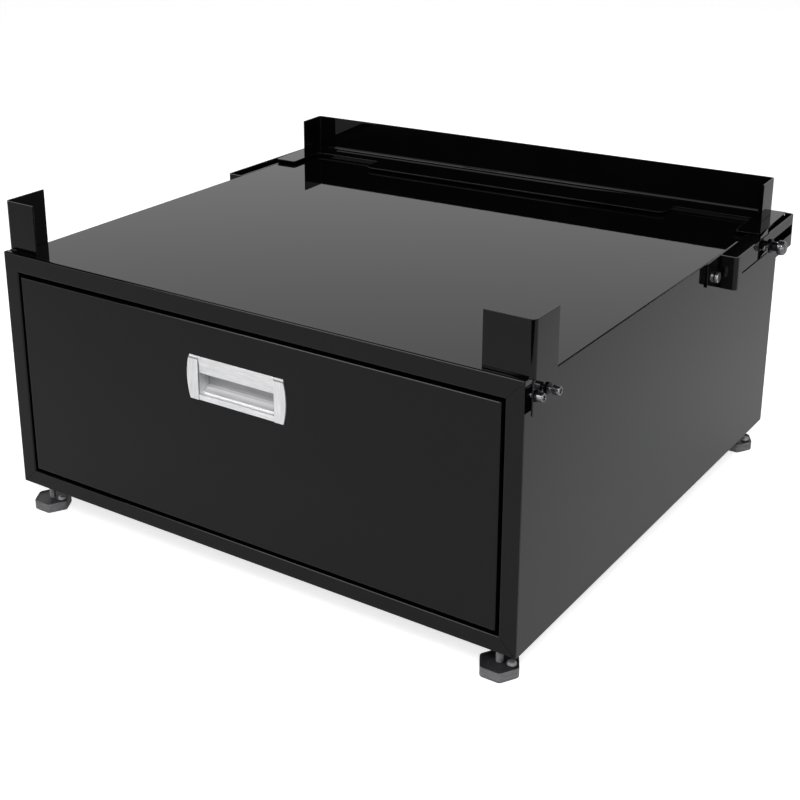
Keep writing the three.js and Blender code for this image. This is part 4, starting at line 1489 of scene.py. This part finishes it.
@dataclass
class Studio:
    """Floor, surrounding light, lamps and camera.

    The lamps are a broad one overhead, a softbox for the pull and one for the level folds.
    """

    film: float = 36.0
    focal: float = 1442.5
    image: float = 800.0
    middle: Point2 = (388.6, 292.3)
    yaw: float = 33.82
    pitch: float = 19.70
    eye: Point3 = (911.9, -1072.3, 814.4)
    surround: float = 0.86
    ceiling: float = 0.03
    wall_rise: Point2 = (0.50, 0.66)
    band: float = 3.2
    front_dark: float = 0.06
    band_rise: Point2 = (0.16, 0.24)
    front_turn: Point2 = (-0.35, 0.05)
    floor_size: float = 6.0
    floor_seen: float = 0.74
    floor_mirrored: float = 0.12
    flag: Profile = (
        (1300.0, -420.0), (440.0, -880.0), (-500.0, -2600.0), (3600.0, -2600.0), (3600.0, -420.0),
    )
    lamps: tuple[Lamp, ...] = (
        Lamp("overhead", (0.3, -0.4, 2.6), 2.6, 34.0, mirrored=False),
        Lamp("pull_softbox", (1.3, -1.9, 2.1), 1.0, 40.0),
        Lamp("fold_softbox", (-1.6, -2.5, 2.2), 1.4, 50.0, diffuse=False),
    )

    def make(self) -> None:
        """Builds the studio."""
        self.make_camera()
        self.make_world()
        self.make_floor()
        for lamp in self.lamps:
            lamp.make()
        self.make_flag()
        bpy.context.scene.view_settings.view_transform = "Standard"

    def make_camera(self) -> None:
        """The camera at the photograph's viewpoint."""
        data = bpy.data.cameras.new("camera")
        data.sensor_width = self.film
        data.sensor_fit = "HORIZONTAL"
        data.lens = self.focal / self.image * self.film
        data.shift_x = (self.image / 2 - self.middle[0]) / self.image
        data.shift_y = (self.middle[1] - self.image / 2) / self.image
        data.clip_end = 50.0
        camera = linked("camera", data)
        camera.location = Vector(self.eye) * MM + ORIGIN
        camera.rotation_euler = (math.radians(90.0 - self.pitch), 0.0, math.radians(self.yaw))
        bpy.context.scene.camera = camera

    def make_world(self) -> None:
        """A pale surround with an open top, dark towards the front but for a bright low band."""
        world = bpy.data.worlds.new("studio")
        world.use_nodes = True
        bpy.context.scene.world = world
        nodes = Nodes(world.node_tree)
        way = nodes.add("ShaderNodeTexCoord").outputs["Generated"]
        parts = nodes.add("ShaderNodeSeparateXYZ", Vector=way).outputs
        ahead = nodes.ramp(parts["Z"], self.band_rise, (grey(self.band, 0.0), grey(self.front_dark, 0.0)))
        behind = nodes.ramp(parts["Z"], self.wall_rise, (grey(self.surround, 0.0), grey(self.ceiling, 0.0)))
        low, high = self.front_turn
        facing = nodes.add("ShaderNodeMapRange", parts["Y"], low, high, interpolation_type="SMOOTHSTEP")
        facing = facing.outputs["Result"]
        around = nodes.add("ShaderNodeMix", data_type="RGBA", Factor=facing, A=ahead, B=behind)
        around = around.outputs["Result"]
        seen = nodes.add("ShaderNodeLightPath").outputs["Is Camera Ray"]
        colour = nodes.add("ShaderNodeMix", data_type="RGBA", Factor=seen, A=around, B=WHITE)
        light = nodes.add("ShaderNodeBackground", colour.outputs["Result"])
        nodes.add("ShaderNodeOutputWorld", light.outputs[0])

    def make_floor(self) -> None:
        """The white floor, which keeps the object's shadow."""
        graph = Graph("floor_white")
        graph.tree.nodes.remove(graph.shader)
        ray = graph.add("ShaderNodeLightPath").outputs
        level = ray["Is Glossy Ray"]
        for operation, other in (("ADD", ray["Is Transmission Ray"]), ("MULTIPLY", self.floor_mirrored)):
            level = graph.add("ShaderNodeMath", level, other, operation=operation).outputs[0]
        seen = graph.add(
            "ShaderNodeMath", ray["Is Camera Ray"], self.floor_seen, level, operation="MULTIPLY_ADD"
        )
        paper = graph.add("ShaderNodeBsdfDiffuse", (0.8, 0.8, 0.8, 1.0))
        glow = graph.add("ShaderNodeEmission", WHITE, seen.outputs[0])
        both = graph.add("ShaderNodeAddShader", paper.outputs[0], glow.outputs[0])
        graph.feed(graph.output.inputs["Surface"], both.outputs[0])
        bm = bmesh.new()
        bmesh.ops.create_grid(bm, x_segments=1, y_segments=1, size=self.floor_size)
        floor = mesh_object("floor", bm, graph.material)
        floor.location.z = CAD_BOX[0][2] - 0.0005

    def make_flag(self) -> None:
        """A black flag on the floor towards the camera, seen only in reflections."""
        graph = Graph("black_flag")
        shade = graph.shader.inputs
        shade["Base Color"].default_value = (0.002, 0.002, 0.002, 1.0)
        shade["Roughness"].default_value = 1.0
        shade["Specular IOR Level"].default_value = 0.0
        bm = bmesh.new()
        corners = [(x * MM + ORIGIN.x, y * MM + ORIGIN.y, CAD_BOX[0][2]) for x, y in self.flag]
        bm.faces.new([bm.verts.new(corner) for corner in corners])
        flag = mesh_object("black_flag", bm, graph.material)
        flag.visible_camera = False
        flag.visible_diffuse = False
        flag.visible_shadow = False


def main() -> None:
    """Builds the whole scene."""
    logging.basicConfig(level=logging.INFO, format="%(name)s: %(message)s")
    finishes = Finishes()
    Studio().make()
    cabinet = Cabinet(finishes)
    cabinet.make()
    FaceFrame(finishes).make()
    Drawer(finishes).make()
    Pull(finishes).make()
    CornerBracket(finishes, Side.RIGHT, 55.0, 48.0, 7.0, 3.0).make()
    CornerBracket(finishes, Side.LEFT, 45.0, 59.0, 10.0, 0.3).make()
    for side in Side:
        SlottedArm(finishes, side).make()
    RearRail(finishes).make()
    for name, x, y in cabinet.foot_places():
        LevellingFoot(finishes, name, x, y).make()


if __name__ == "__main__":
    main()
